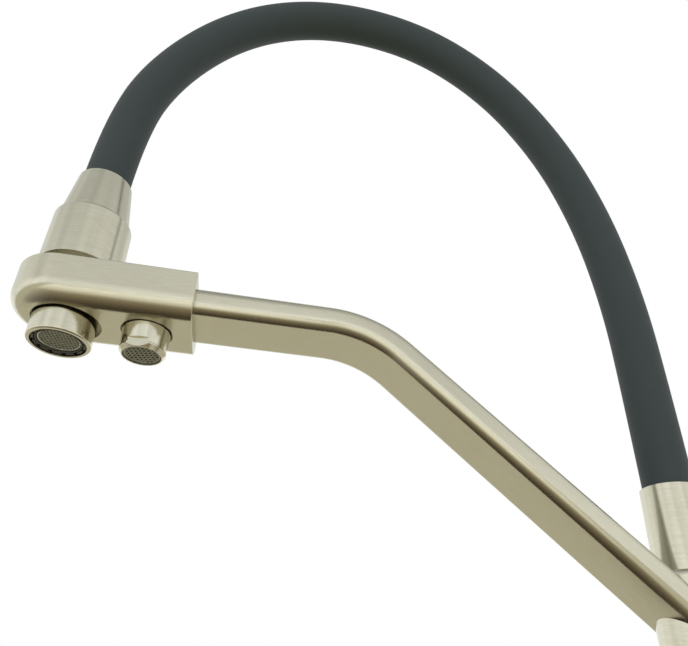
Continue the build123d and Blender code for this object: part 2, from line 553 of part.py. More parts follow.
# Fixed ceramic disc of the filtered water valve, with a half-moon way
with BuildPart() as filter_fixed_disc:
    with BuildSketch(filter_plane(NOSE_START)):
        Circle(FILTER_DISC_R)
        with Locations((0, HALF_MOON_R / 2 + 0.6)):
            Rectangle(1.6 * HALF_MOON_R, HALF_MOON_R, mode=Mode.SUBTRACT)
    extrude(amount=FILTER_DISC_T)
filter_fixed_disc.part.label = "filter_fixed_disc"
export_step(filter_fixed_disc.part, "parts/filter_fixed_disc.step")

# Turning ceramic disc, whose open half meets the way after a quarter turn
with BuildPart() as filter_moving_disc:
    with BuildSketch(filter_plane(FILTER_MOVING_DISC)):
        Circle(FILTER_DISC_R)
        with Locations((-(HALF_MOON_R / 2 + 0.6), 0)):
            Rectangle(HALF_MOON_R, 1.6 * HALF_MOON_R, mode=Mode.SUBTRACT)
    extrude(amount=FILTER_DISC_T)
filter_moving_disc.part.label = "filter_moving_disc"
export_step(filter_moving_disc.part, "parts/filter_moving_disc.step")

# Spindle with a driving flange on the turning disc and a groove for its seal
SPINDLE_START = FILTER_MOVING_DISC + FILTER_DISC_T
with BuildPart() as filter_spindle:
    with BuildSketch(FILTER_SECTION):
        with BuildLine():
            Polyline(
                (SPINDLE_START, 0),
                (SPINDLE_START, FILTER_DISC_R),
                (CAVITY_END - 0.1, FILTER_DISC_R),
                (CAVITY_END - 0.1, SPINDLE_R),
                (SPINDLE_GROOVE, SPINDLE_R),
                (SPINDLE_GROOVE, SPINDLE_R - SPINDLE_SEAL_T),
                (SPINDLE_GROOVE + 2, SPINDLE_R - SPINDLE_SEAL_T),
                (SPINDLE_GROOVE + 2, SPINDLE_R),
                (SPINDLE_END, SPINDLE_R),
                (SPINDLE_END, 0),
                close=True,
            )
        make_face()
    revolve(axis=FILTER_AXIS)
filter_spindle.part.label = "filter_spindle"
export_step(filter_spindle.part, "parts/filter_spindle.step")

with BuildPart() as filter_spindle_seal:
    with BuildSketch(filter_plane(SPINDLE_GROOVE)):
        Circle(SPINDLE_R)
        Circle(SPINDLE_R - SPINDLE_SEAL_T, mode=Mode.SUBTRACT)
    extrude(amount=2)
filter_spindle_seal.part.label = "filter_spindle_seal"
export_step(filter_spindle_seal.part, "parts/filter_spindle_seal.step")

# Handle of the filtered water: a turned cap over the valve's collar, with a slim lever and a grub screw
with BuildPart() as filter_handle_hub:
    with BuildSketch(filter_plane(FILTER_HUB_RIM)):
        Circle(FILTER_BOSS_R)
    extrude(amount=FILTER_HUB_END - FILTER_HUB_RIM)
    fillet(filter_handle_hub.faces().sort_by(Axis.Y)[-1].edges(), HUB_EDGE)
    with BuildSketch(filter_plane(FILTER_HUB_RIM)):
        Circle(FILTER_COLLAR_R + 0.5)
    extrude(amount=FILTER_NECK_END + 0.8 - FILTER_HUB_RIM, mode=Mode.SUBTRACT)
    with BuildSketch(filter_plane(FILTER_HUB_RIM)):
        Circle(SPINDLE_R)
    extrude(amount=SPINDLE_END - FILTER_HUB_RIM, mode=Mode.SUBTRACT)
    with BuildSketch(Plane.XY.offset(VALVE_Z + LEVER_SEAT)):
        with Locations((0, FILTER_LEVER_S)):
            Circle(FILTER_LEVER_R)
    extrude(amount=FILTER_BOSS_R, mode=Mode.SUBTRACT)
    with BuildSketch(Plane.XY.offset(VALVE_Z)):
        with Locations((0, FILTER_LEVER_S)):
            Circle(FILTER_GRUB_R)
    extrude(amount=-FILTER_BOSS_R, mode=Mode.SUBTRACT)
filter_handle_hub.part.label = "filter_handle_hub"
export_step(filter_handle_hub.part, "parts/filter_handle_hub.step")

with BuildPart() as filter_lever:
    with BuildSketch(Plane(origin=(0, FILTER_LEVER_S, 0), x_dir=(1, 0, 0), z_dir=(0, -1, 0))):
        with BuildLine():
            Polyline(
                (0, VALVE_Z + LEVER_SEAT),
                (FILTER_LEVER_R, VALVE_Z + LEVER_SEAT),
                (FILTER_LEVER_R, VALVE_Z + FILTER_BOSS_R),
                (FILTER_LEVER_TIP_R, FILTER_LEVER_TOP_Z - FILTER_LEVER_TIP_R),
            )
            CenterArc((0, FILTER_LEVER_TOP_Z - FILTER_LEVER_TIP_R), FILTER_LEVER_TIP_R, 0, 90)
            Line((0, FILTER_LEVER_TOP_Z), (0, VALVE_Z + LEVER_SEAT))
        make_face()
    revolve(axis=Axis((0, FILTER_LEVER_S, 0), (0, 0, 1)))
filter_lever.part.label = "filter_lever"
export_step(filter_lever.part, "parts/filter_lever.step")

with BuildPart() as filter_grub_screw:
    with BuildSketch(Plane.XY.offset(VALVE_Z - SPINDLE_R)):
        with Locations((0, FILTER_LEVER_S)):
            Circle(FILTER_GRUB_R)
    extrude(amount=-GRUB_LENGTH)
    with BuildSketch(Plane.XY.offset(VALVE_Z - SPINDLE_R - GRUB_LENGTH)):
        with Locations((0, FILTER_LEVER_S)):
            RegularPolygon(FILTER_GRUB_HEX / 2, 6, major_radius=False)
    extrude(amount=2.5, mode=Mode.SUBTRACT)
filter_grub_screw.part.label = "filter_grub_screw"
export_step(filter_grub_screw.part, "parts/filter_grub_screw.step")

# Plastic glide ring between the body and the turning column
with BuildPart() as swivel_glide_ring:
    with BuildSketch(Plane.XY.offset(BODY_TOP)):
        Circle(GLIDE_R)
        Circle(SPIGOT_R + 0.3, mode=Mode.SUBTRACT)
    extrude(amount=GLIDE_T)
swivel_glide_ring.part.label = "swivel_glide_ring"
export_step(swivel_glide_ring.part, "parts/swivel_glide_ring.step")

# Brass spigot, screwed up into the column and turning in the body, with two seals and a retaining groove
with BuildPart() as swivel_spigot:
    with BuildSketch(Plane.XY.offset(SPIGOT_BOTTOM)):
        Circle(SPIGOT_R)
        Circle(SPIGOT_BORE_R, mode=Mode.SUBTRACT)
    extrude(amount=SPIGOT_TOP - SPIGOT_BOTTOM)
    grooves = [(z, SWIVEL_SEAL_T, SWIVEL_GROOVE_R) for z in SWIVEL_SEAL_ZS]
    grooves.append((RETAINING_Z - RETAINING_GROOVE_T / 2, RETAINING_GROOVE_T, RETAINING_GROOVE_R))
    for groove_z, groove_t, groove_r in grooves:
        with BuildSketch(Plane.XY.offset(groove_z)):
            Circle(SPIGOT_R + 1)
            Circle(groove_r, mode=Mode.SUBTRACT)
        extrude(amount=groove_t, mode=Mode.SUBTRACT)
swivel_spigot.part.label = "swivel_spigot"
export_step(swivel_spigot.part, "parts/swivel_spigot.step")

with BuildPart() as swivel_seals:
    for seal_z in SWIVEL_SEAL_ZS:
        with BuildSketch(Plane.XY.offset(seal_z)):
            Circle(SPIGOT_R)
            Circle(SWIVEL_GROOVE_R, mode=Mode.SUBTRACT)
        extrude(amount=SWIVEL_SEAL_T)
swivel_seals.part.label = "swivel_seals"
export_step(swivel_seals.part, "parts/swivel_seals.step")

# Screw at the back of the body whose tip runs in the spigot's groove
with BuildPart() as swivel_retaining_screw:
    with BuildSketch(Plane.YZ.offset(SPIGOT_R + 0.1)):
        with Locations((0, RETAINING_Z)):
            Circle(RETAINING_SCREW_R)
    extrude(amount=RETAINING_SCREW_LENGTH)
    with BuildSketch(Plane.YZ.offset(RETAINING_GROOVE_R + 0.3)):
        with Locations((0, RETAINING_Z)):
            Circle(RETAINING_TIP_R)
    extrude(amount=SPIGOT_R - RETAINING_GROOVE_R)
swivel_retaining_screw.part.label = "swivel_retaining_screw"
export_step(swivel_retaining_screw.part, "parts/swivel_retaining_screw.step")

# Direction of the arm's sloping run, from its foot on the column's axis up to the bend
ARM_FOOT = (0, 0, ARM_FOOT_Z)
ARM_CORNER = (ARM_CORNER_X, 0, ARM_Z)
ARM_SLOPE, _ = between(ARM_FOOT, ARM_CORNER)

# Column: a tube closed at its top round the hose tail, with a hole in its wall for the filtered water tube
with BuildPart() as spout_column:
    with BuildSketch(Plane.XY.offset(COLUMN_BOTTOM)):
        Circle(COLUMN_R)
    extrude(amount=COLUMN_TOP - COLUMN_BOTTOM)
    fillet(spout_column.faces().sort_by(Axis.Z)[-1].edges(), COLUMN_EDGE)
    with BuildSketch(Plane.XY.offset(COLUMN_BOTTOM)):
        Circle(SPIGOT_R)
    extrude(amount=SPIGOT_TOP - COLUMN_BOTTOM, mode=Mode.SUBTRACT)
    with BuildSketch(Plane.XY.offset(SPIGOT_TOP)):
        Circle(COLUMN_BORE_R)
    extrude(amount=COLUMN_WALL_TOP - SPIGOT_TOP, mode=Mode.SUBTRACT)
    with BuildSketch(Plane.XY.offset(COLUMN_WALL_TOP)):
        Circle(BODY_TAIL_R)
    extrude(amount=COLUMN_TOP - COLUMN_WALL_TOP, mode=Mode.SUBTRACT)
    with BuildSketch(ARM_SLOPE):
        Circle(FILTER_TUBE_R)
    extrude(amount=2 * COLUMN_R, mode=Mode.SUBTRACT)
spout_column.part.label = "spout_column"
export_step(spout_column.part, "parts/spout_column.step")

# Arm: a rounded rectangular tube, cut to the column at its foot and bent level towards the head
with BuildPart() as spout_arm:
    with BuildLine():
        arm_path = FilletPolyline(ARM_FOOT, ARM_CORNER, (ARM_END_X, 0, ARM_Z), radius=ARM_BEND_R)
    arm_section = Plane(origin=arm_path @ 0, x_dir=(0, 1, 0), z_dir=arm_path % 0)
    with BuildSketch(arm_section):
        RectangleRounded(ARM_WIDTH, ARM_HEIGHT, ARM_CORNER_R)
        RectangleRounded(
            ARM_WIDTH - 2 * ARM_WALL, ARM_HEIGHT - 2 * ARM_WALL, ARM_CORNER_R - ARM_WALL, mode=Mode.SUBTRACT
        )
    sweep(path=arm_path)
    with BuildSketch(Plane.XY.offset(COLUMN_BOTTOM)):
        Circle(COLUMN_R)
    extrude(amount=COLUMN_TOP - COLUMN_BOTTOM, mode=Mode.SUBTRACT)
spout_arm.part.label = "spout_arm"
export_step(spout_arm.part, "parts/spout_arm.step")

# Plug that closes the arm's end round the filtered water tube
with BuildPart() as arm_end_plug:
    with BuildSketch(Plane(origin=(ARM_END_X, 0, ARM_Z), x_dir=(0, 1, 0), z_dir=(1, 0, 0))):
        RectangleRounded(ARM_WIDTH - 2 * ARM_WALL, ARM_HEIGHT - 2 * ARM_WALL, ARM_CORNER_R - ARM_WALL)
        Circle(FILTER_TUBE_R, mode=Mode.SUBTRACT)
    extrude(amount=PLUG_T)
arm_end_plug.part.label = "arm_end_plug"
export_step(arm_end_plug.part, "parts/arm_end_plug.step")

# Filtered water tube: up the middle of the swivel, through the column's wall and along the arm to the head
TUBE_END_X = SMALL_OUTLET_X + SMALL_THREAD_R
with BuildPart() as filtered_water_tube:
    with BuildLine():
        tube_path = FilletPolyline(
            (0, 0, FILTER_TUBE_BOTTOM),
            ARM_FOOT,
            ARM_CORNER,
            (TUBE_END_X, 0, ARM_Z),
            radius=[TUBE_BEND_R, ARM_BEND_R],
        )
    with BuildSketch(Plane.XY.offset(FILTER_TUBE_BOTTOM)):
        Circle(FILTER_TUBE_R)
        Circle(FILTER_TUBE_BORE_R, mode=Mode.SUBTRACT)
    sweep(path=tube_path)
filtered_water_tube.part.label = "filtered_water_tube"
export_step(filtered_water_tube.part, "parts/filtered_water_tube.step")

# Head block: a rounded nose, wide roundings along the lower edge, and a recess round each outlet
with BuildPart() as head_block:
    block_length = BLOCK_END_X - BLOCK_NOSE_X
    with BuildSketch(Plane.XY.offset(BLOCK_BOTTOM)):
        with Locations((BLOCK_NOSE_X, 0)):
            Circle(BLOCK_R)
            Rectangle(block_length, 2 * BLOCK_R, align=(Align.MIN, Align.CENTER))
    extrude(amount=BLOCK_TOP - BLOCK_BOTTOM)
    lower_edges = head_block.faces().sort_by(Axis.Z)[0].edges().filter_by(Axis.Y, reverse=True)
    fillet(lower_edges, BLOCK_EDGE)
    upper_edges = head_block.faces().sort_by(Axis.Z)[-1].edges().filter_by(Axis.Y, reverse=True)
    fillet(upper_edges, BLOCK_TOP_EDGE)
    fillet(head_block.faces().sort_by(Axis.X)[-1].edges(), BLOCK_END_EDGE)
    with BuildSketch(outlet_plane(RECESS_X, BLOCK_BOTTOM)):
        Circle(RECESS_R)
    extrude(amount=RECESS_DEPTH, mode=Mode.SUBTRACT)
    with BuildSketch(outlet_plane(SMALL_OUTLET_X, BLOCK_BOTTOM)):
        Circle(SMALL_RECESS_R)
    extrude(amount=SMALL_RECESS_DEPTH, mode=Mode.SUBTRACT)
    with BuildSketch(outlet_plane(OUTLET_X, BLOCK_BOTTOM)):
        Circle(TAIL_THREAD_R)
    extrude(amount=BLOCK_TOP - BLOCK_BOTTOM, mode=Mode.SUBTRACT)
    with BuildSketch(outlet_plane(SMALL_OUTLET_X, BLOCK_BOTTOM)):
        Circle(SMALL_THREAD_R)
    extrude(amount=ARM_Z + SMALL_CHANNEL_R - BLOCK_BOTTOM, mode=Mode.SUBTRACT)
    with BuildSketch(Plane(origin=(ARM_END_X, 0, ARM_Z), x_dir=(0, 1, 0), z_dir=(1, 0, 0))):
        RectangleRounded(ARM_WIDTH, ARM_HEIGHT, ARM_CORNER_R)
    extrude(amount=BLOCK_END_X - ARM_END_X, mode=Mode.SUBTRACT)
    with BuildSketch(Plane(origin=(SMALL_OUTLET_X, 0, ARM_Z), x_dir=(0, 1, 0), z_dir=(1, 0, 0))):
        Circle(FILTER_TUBE_R)
    extrude(amount=ARM_END_X - SMALL_OUTLET_X, mode=Mode.SUBTRACT)
head_block.part.label = "head_block"
export_step(head_block.part, "parts/head_block.step")

# Mixed water outlet: a nipple in the block, and the shell, washer, flow insert and mesh screwed on to it
NIPPLE_BOTTOM = 246.6
NIPPLE_SHOULDER = BLOCK_BOTTOM + RECESS_DEPTH
with BuildPart() as mixed_outlet_nipple:
    with BuildSketch(outlet_plane(OUTLET_X, NIPPLE_BOTTOM)):
        Circle(SHELL_THREAD_R)
    extrude(amount=NIPPLE_SHOULDER - NIPPLE_BOTTOM)
    with BuildSketch(outlet_plane(OUTLET_X, NIPPLE_SHOULDER)):
        Circle(TAIL_THREAD_R)
    extrude(amount=NIPPLE_THREAD)
    with BuildSketch(outlet_plane(OUTLET_X, NIPPLE_BOTTOM)):
        Circle(CHANNEL_R)
    extrude(amount=NIPPLE_SHOULDER + NIPPLE_THREAD - NIPPLE_BOTTOM, mode=Mode.SUBTRACT)
mixed_outlet_nipple.part.label = "mixed_outlet_nipple"
export_step(mixed_outlet_nipple.part, "parts/mixed_outlet_nipple.step")

with BuildPart() as mixed_aerator_washer:
    with BuildSketch(outlet_plane(OUTLET_X, INSERT_TOP)):
        Circle(INSERT_FLANGE_R)
        Circle(MESH_R, mode=Mode.SUBTRACT)
    extrude(amount=NIPPLE_BOTTOM - INSERT_TOP)
mixed_aerator_washer.part.label = "mixed_aerator_washer"
export_step(mixed_aerator_washer.part, "parts/mixed_aerator_washer.step")

with BuildPart() as mixed_aerator_insert:
    with BuildSketch(outlet_plane(OUTLET_X, INSERT_BOTTOM)):
        Circle(INSERT_R)
        with PolarLocations(INSERT_R, INSERT_NOTCHES):
            Rectangle(NOTCH_DEPTH * 2, NOTCH_WIDTH, mode=Mode.SUBTRACT)
    extrude(amount=LIP_TOP - INSERT_BOTTOM)
    with BuildSketch(outlet_plane(OUTLET_X, LIP_TOP)):
        Circle(INSERT_FLANGE_R)
    extrude(amount=INSERT_TOP - LIP_TOP)
    with BuildSketch(outlet_plane(OUTLET_X, INSERT_BOTTOM)):
        Circle(RIM_GROOVE_R)
        Circle(RIM_GROOVE_INNER_R, mode=Mode.SUBTRACT)
    extrude(amount=RIM_GROOVE_DEPTH, mode=Mode.SUBTRACT)
    with BuildSketch(outlet_plane(OUTLET_X, INSERT_BOTTOM)):
        Circle(MESH_R)
    extrude(amount=MESH_SEAT, mode=Mode.SUBTRACT)
    with BuildSketch(outlet_plane(OUTLET_X, INSERT_BOTTOM)):
        Circle(MESH_OPEN_R)
    extrude(amount=INSERT_TOP - INSERT_BOTTOM, mode=Mode.SUBTRACT)
mixed_aerator_insert.part.label = "mixed_aerator_insert"
export_step(mixed_aerator_insert.part, "parts/mixed_aerator_insert.step")

with BuildPart() as mixed_aerator_mesh:
    with BuildSketch(outlet_plane(OUTLET_X, INSERT_BOTTOM + MESH_SEAT - MESH_T)):
        Circle(MESH_R)
        with GridLocations(MESH_PITCH, MESH_PITCH, 3, 5):
            Rectangle(MESH_HOLE, MESH_HOLE, mode=Mode.SUBTRACT)
        for side in (-1, 1):
            with Locations((side * 2 * MESH_PITCH, 0)):
                with GridLocations(MESH_PITCH, MESH_PITCH, 1, 3):
                    Rectangle(MESH_HOLE, MESH_HOLE, mode=Mode.SUBTRACT)
    extrude(amount=MESH_T)
mixed_aerator_mesh.part.label = "mixed_aerator_mesh"
export_step(mixed_aerator_mesh.part, "parts/mixed_aerator_mesh.step")

with BuildPart() as mixed_aerator_shell:
    with BuildSketch(outlet_plane(OUTLET_X, SHELL_BOTTOM)):
        Circle(SHELL_R)
    extrude(amount=SHELL_TOP - SHELL_BOTTOM)
    fillet(mixed_aerator_shell.faces().sort_by(Axis.Z)[0].edges(), SHELL_EDGE)
    with BuildSketch(outlet_plane(OUTLET_X, SHELL_BOTTOM)):
        Circle(SHELL_LIP_R)
    extrude(amount=LIP_TOP - SHELL_BOTTOM, mode=Mode.SUBTRACT)
    with BuildSketch(outlet_plane(OUTLET_X, LIP_TOP)):
        Circle(SHELL_THREAD_R)
    extrude(amount=SHELL_TOP - LIP_TOP, mode=Mode.SUBTRACT)
mixed_aerator_shell.part.label = "mixed_aerator_shell"
export_step(mixed_aerator_shell.part, "parts/mixed_aerator_shell.step")

# Filtered water outlet: the same pieces in a smaller size. Its shell widens upwards from a flanged rim, and
# two spanner flats are cut into its lower end
SMALL_SHOULDER = BLOCK_BOTTOM + SMALL_RECESS_DEPTH
with BuildPart() as filtered_outlet_nipple:
    with BuildSketch(outlet_plane(SMALL_OUTLET_X, SMALL_NIPPLE_BOTTOM)):
        Circle(SMALL_THREAD_MALE_R)
    extrude(amount=SMALL_SHOULDER - SMALL_NIPPLE_BOTTOM)
    with BuildSketch(outlet_plane(SMALL_OUTLET_X, SMALL_SHOULDER)):
        Circle(SMALL_THREAD_R)
    extrude(amount=ARM_Z - SMALL_CHANNEL_R - SMALL_SHOULDER)
    with BuildSketch(outlet_plane(SMALL_OUTLET_X, SMALL_NIPPLE_BOTTOM)):
        Circle(SMALL_CHANNEL_R)
    extrude(amount=ARM_Z - SMALL_CHANNEL_R - SMALL_NIPPLE_BOTTOM, mode=Mode.SUBTRACT)
filtered_outlet_nipple.part.label = "filtered_outlet_nipple"
export_step(filtered_outlet_nipple.part, "parts/filtered_outlet_nipple.step")

with BuildPart() as filtered_aerator_washer:
    with BuildSketch(outlet_plane(SMALL_OUTLET_X, SMALL_INSERT_TOP)):
        Circle(SMALL_INSERT_FLANGE_R)
        Circle(SMALL_OPEN_R, mode=Mode.SUBTRACT)
    extrude(amount=SMALL_NIPPLE_BOTTOM - SMALL_INSERT_TOP)
filtered_aerator_washer.part.label = "filtered_aerator_washer"
export_step(filtered_aerator_washer.part, "parts/filtered_aerator_washer.step")

with BuildPart() as filtered_aerator_insert:
    with BuildSketch(outlet_plane(SMALL_OUTLET_X, SMALL_INSERT_BOTTOM)):
        Circle(SMALL_INSERT_R)
    extrude(amount=SMALL_LIP_TOP - SMALL_INSERT_BOTTOM)
    with BuildSketch(outlet_plane(SMALL_OUTLET_X, SMALL_LIP_TOP)):
        Circle(SMALL_INSERT_FLANGE_R)
    extrude(amount=SMALL_INSERT_TOP - SMALL_LIP_TOP)
    with BuildSketch(outlet_plane(SMALL_OUTLET_X, SMALL_INSERT_BOTTOM)):
        Circle(SMALL_OPEN_R)
    extrude(amount=SMALL_INSERT_TOP - SMALL_INSERT_BOTTOM, mode=Mode.SUBTRACT)
    with BuildSketch(outlet_plane(SMALL_OUTLET_X, SMALL_INSERT_BOTTOM)):
        Circle(SMALL_MESH_R)
    extrude(amount=MESH_T, mode=Mode.SUBTRACT)
filtered_aerator_insert.part.label = "filtered_aerator_insert"
export_step(filtered_aerator_insert.part, "parts/filtered_aerator_insert.step")

with BuildPart() as filtered_aerator_mesh:
    with BuildSketch(outlet_plane(SMALL_OUTLET_X, SMALL_INSERT_BOTTOM)):
        Circle(SMALL_MESH_R)
        with GridLocations(MESH_PITCH, MESH_PITCH, 3, 3):
            Rectangle(MESH_HOLE, MESH_HOLE, mode=Mode.SUBTRACT)
        with PolarLocations(2 * MESH_PITCH, 4):
            Rectangle(MESH_HOLE, MESH_HOLE, mode=Mode.SUBTRACT)
    extrude(amount=MESH_T)
filtered_aerator_mesh.part.label = "filtered_aerator_mesh"
export_step(filtered_aerator_mesh.part, "parts/filtered_aerator_mesh.step")

with BuildPart() as filtered_aerator_shell:
    with BuildSketch(Plane(origin=(SMALL_OUTLET_X, 0, 0), x_dir=(1, 0, 0), z_dir=(0, -1, 0))):
        with BuildLine():
            Polyline(
                (SMALL_LIP_R, SMALL_BOTTOM),
                (SMALL_RIM_R, SMALL_BOTTOM),
                (SMALL_FLANGE_R, SMALL_FLANGE_Z),
                (SMALL_FLANGE_R, SMALL_FLANGE_TOP),
                (SMALL_NECK_R, SMALL_NECK_Z),
                (SMALL_BODY_R, SMALL_BODY_Z),
                (SMALL_BODY_R, SMALL_TOP),
                (SMALL_THREAD_MALE_R, SMALL_TOP),
                (SMALL_THREAD_MALE_R, SMALL_LIP_TOP),
                (SMALL_LIP_R, SMALL_LIP_TOP),
                close=True,
            )
        make_face()
    revolve(axis=Axis((SMALL_OUTLET_X, 0, 0), (0, 0, 1)))
    flat_depth = SMALL_BODY_R - SMALL_FLAT
    with BuildSketch(outlet_plane(SMALL_OUTLET_X, SMALL_BOTTOM)):
        with PolarLocations(SMALL_BODY_R, 2, start_angle=SMALL_FLAT_ANGLE):
            Rectangle(2 * flat_depth, 2 * SMALL_BODY_R)
    extrude(amount=SMALL_FLAT_HEIGHT, mode=Mode.SUBTRACT)
filtered_aerator_shell.part.label = "filtered_aerator_shell"
export_step(filtered_aerator_shell.part, "parts/filtered_aerator_shell.step")

# Hose tail of the head: a thread in the block, the neck in the gap under the collar and a barbed end
with BuildPart() as head_hose_tail:
    with BuildSketch(Plane(origin=(OUTLET_X, 0, 0), x_dir=(1, 0, 0), z_dir=(0, -1, 0))):
        with BuildLine():
            Polyline(
                (BARB_BORE_R, BLOCK_TOP - TAIL_THREAD),
                (TAIL_THREAD_R, BLOCK_TOP - TAIL_THREAD),
                (TAIL_THREAD_R, BLOCK_TOP),
                (NECK_R, BLOCK_TOP),
                (NECK_R, NECK_TOP),
                (BARB_R, NECK_TOP),
                (BARB_R, NECK_TOP + BARB_LENGTH),
                (BARB_BORE_R, NECK_TOP + BARB_LENGTH),
                close=True,
            )
        make_face()
    revolve(axis=Axis((OUTLET_X, 0, 0), (0, 0, 1)))
head_hose_tail.part.label = "head_hose_tail"
export_step(head_hose_tail.part, "parts/head_hose_tail.step")

# Hose collar: a turned cup, slightly narrower towards its rounded top edge
with BuildPart() as hose_collar:
    with BuildSketch(Plane(origin=(OUTLET_X, 0, 0), x_dir=(1, 0, 0), z_dir=(0, -1, 0))):
        with BuildLine():
            Polyline(
                (NECK_R, COLLAR_BOTTOM),
                (COLLAR_R, COLLAR_BOTTOM),
                (COLLAR_TOP_R, COLLAR_TOP),
                (SKIRT_R, COLLAR_TOP),
                (SKIRT_R, NECK_TOP),
                (NECK_R, NECK_TOP),
                close=True,
            )
        make_face()
    revolve(axis=Axis((OUTLET_X, 0, 0), (0, 0, 1)))
    fillet(hose_collar.faces().sort_by(Axis.Z)[-1].edges().sort_by(SortBy.LENGTH)[-1], COLLAR_EDGE)
hose_collar.part.label = "hose_collar"
export_step(hose_collar.part, "parts/hose_collar.step")

# Conical ferrule at the hose's head end, with a skirt down inside the collar
with BuildPart() as head_hose_ferrule:
    with BuildSketch(Plane(origin=(OUTLET_X, 0, 0), x_dir=(1, 0, 0), z_dir=(0, -1, 0))):
        with BuildLine():
            Polyline(
                (CRIMP_R + 0.2, SKIRT_BOTTOM),
                (SKIRT_R, SKIRT_BOTTOM),
                (SKIRT_R, COLLAR_TOP),
                (CONE_R, COLLAR_TOP),
                (CONE_TOP_R, CONE_TOP),
                (HOSE_R, CONE_TOP),
                (HOSE_R, HOSE_HEAD_Z),
                (CRIMP_R + 0.2, HOSE_HEAD_Z),
                close=True,
            )
        make_face()
    revolve(axis=Axis((OUTLET_X, 0, 0), (0, 0, 1)))
head_hose_ferrule.part.label = "head_hose_ferrule"
export_step(head_hose_ferrule.part, "parts/head_hose_ferrule.step")

# Hose tail of the column and the tall, slightly tapered ferrule round it
with BuildPart() as body_hose_tail:
    with BuildSketch(Plane.XZ):
        with BuildLine():
            Polyline(
                (BARB_BORE_R, COLUMN_WALL_TOP),
                (BODY_TAIL_R, COLUMN_WALL_TOP),
                (BODY_TAIL_R, COLUMN_TOP),
                (TAIL_FLANGE_R, COLUMN_TOP),
                (TAIL_FLANGE_R, TAIL_FLANGE_TOP),
                (BARB_R, TAIL_FLANGE_TOP),
                (BARB_R, TAIL_FLANGE_TOP + BARB_LENGTH),
                (BARB_BORE_R, TAIL_FLANGE_TOP + BARB_LENGTH),
                close=True,
            )
        make_face()
    revolve(axis=Axis.Z)
body_hose_tail.part.label = "body_hose_tail"
export_step(body_hose_tail.part, "parts/body_hose_tail.step")

with BuildPart() as body_hose_ferrule:
    with BuildSketch(Plane.XZ):
        with BuildLine():
            Polyline(
                (TAIL_FLANGE_R, COLUMN_TOP),
                (BODY_FERRULE_R, COLUMN_TOP),
                (BODY_FERRULE_TOP_R, BODY_FERRULE_TOP),
                (HOSE_R, BODY_FERRULE_TOP),
                (HOSE_R, HOSE_FOOT_Z),
                (TAIL_FLANGE_R, HOSE_FOOT_Z),
                close=True,
            )
        make_face()
    revolve(axis=Axis.Z)
body_hose_ferrule.part.label = "body_hose_ferrule"
export_step(body_hose_ferrule.part, "parts/body_hose_ferrule.step")

# Steel sleeves that crimp the inner hose on to its two barbed tails
with BuildPart() as hose_crimp_sleeves:
    for crimp_x, crimp_z in ((0, TAIL_FLANGE_TOP + 2), (OUTLET_X, NECK_TOP + 2)):
        with BuildSketch(outlet_plane(crimp_x, crimp_z)):
            Circle(CRIMP_R)
            Circle(LINER_R, mode=Mode.SUBTRACT)
        extrude(amount=CRIMP_LENGTH)
hose_crimp_sleeves.part.label = "hose_crimp_sleeves"
export_step(hose_crimp_sleeves.part, "parts/hose_crimp_sleeves.step")


def bend_radii(route):
    """One radius for each corner of a route: 0.45 of its shorter run over the tangent of half its turn."""
    radii = []
    for before, here, after in zip(route, route[1:], route[2:]):
        run_in = Vector(here[0] - before[0], here[1] - before[1])
        run_out = Vector(after[0] - here[0], after[1] - here[1])
        half_turn = radians(run_in.get_angle(run_out)) / 2
        radii.append(0.45 * min(run_in.length, run_out.length) / tan(half_turn))
    return radii


def hose_points(foot_z, head_z):
    """The route's points in space, with its straight ends moved to other heights."""
    inner = [(x, 0, z) for x, z in HOSE_ROUTE[1:-1]]
    return [(0, 0, foot_z), *inner, (OUTLET_X, 0, head_z)]


HOSE_BENDS = bend_radii(HOSE_ROUTE)
print("bend radii of the hose in mm:", [round(radius) for radius in HOSE_BENDS])

# Silicone hose, pushed into both ferrules
with BuildPart() as silicone_hose:
    with BuildLine():
        hose_path = FilletPolyline(*hose_points(HOSE_FOOT_Z, HOSE_HEAD_Z), radius=HOSE_BENDS)
    with BuildSketch(Plane.XY.offset(HOSE_FOOT_Z)):
        Circle(HOSE_R)
        Circle(HOSE_BORE_R, mode=Mode.SUBTRACT)
    sweep(path=hose_path)
silicone_hose.part.label = "silicone_hose"
export_step(silicone_hose.part, "parts/silicone_hose.step")
HOSE_LENGTH = silicone_hose.part.volume / (pi * (HOSE_R**2 - HOSE_BORE_R**2))
print("silicone hose length in mm:", round(hose_path.length, 1), "from its volume:", round(HOSE_LENGTH, 1))

# Inner water hose from tail to tail, along the same bends
with BuildPart() as inner_water_hose:
    with BuildLine():
        liner_path = FilletPolyline(*hose_points(TAIL_FLANGE_TOP, NECK_TOP), radius=HOSE_BENDS)
    with BuildSketch(Plane.XY.offset(TAIL_FLANGE_TOP)):
        Circle(LINER_R)
        Circle(LINER_BORE_R, mode=Mode.SUBTRACT)
    sweep(path=liner_path)
inner_water_hose.part.label = "inner_water_hose"
export_step(inner_water_hose.part, "parts/inner_water_hose.step")
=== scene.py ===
"""Looks of a kitchen faucet whose spout is a silicone hose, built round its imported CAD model.

The CAD nodes keep their shapes and get procedural finishes. The arm, the woven outlet screens, the rolled
rims round them and the shank's thread are new surfaces worked out with numpy, and the hose is a round tube on
a smooth curve. Everything is in metres: origin on the deck at the column's axis, +Z up, the spout along -X.
"""

import logging
import math
from dataclasses import dataclass, replace
from enum import Enum
from typing import Any, Sequence

import bmesh
import bpy
import numpy as np
from mathutils import Matrix, Vector


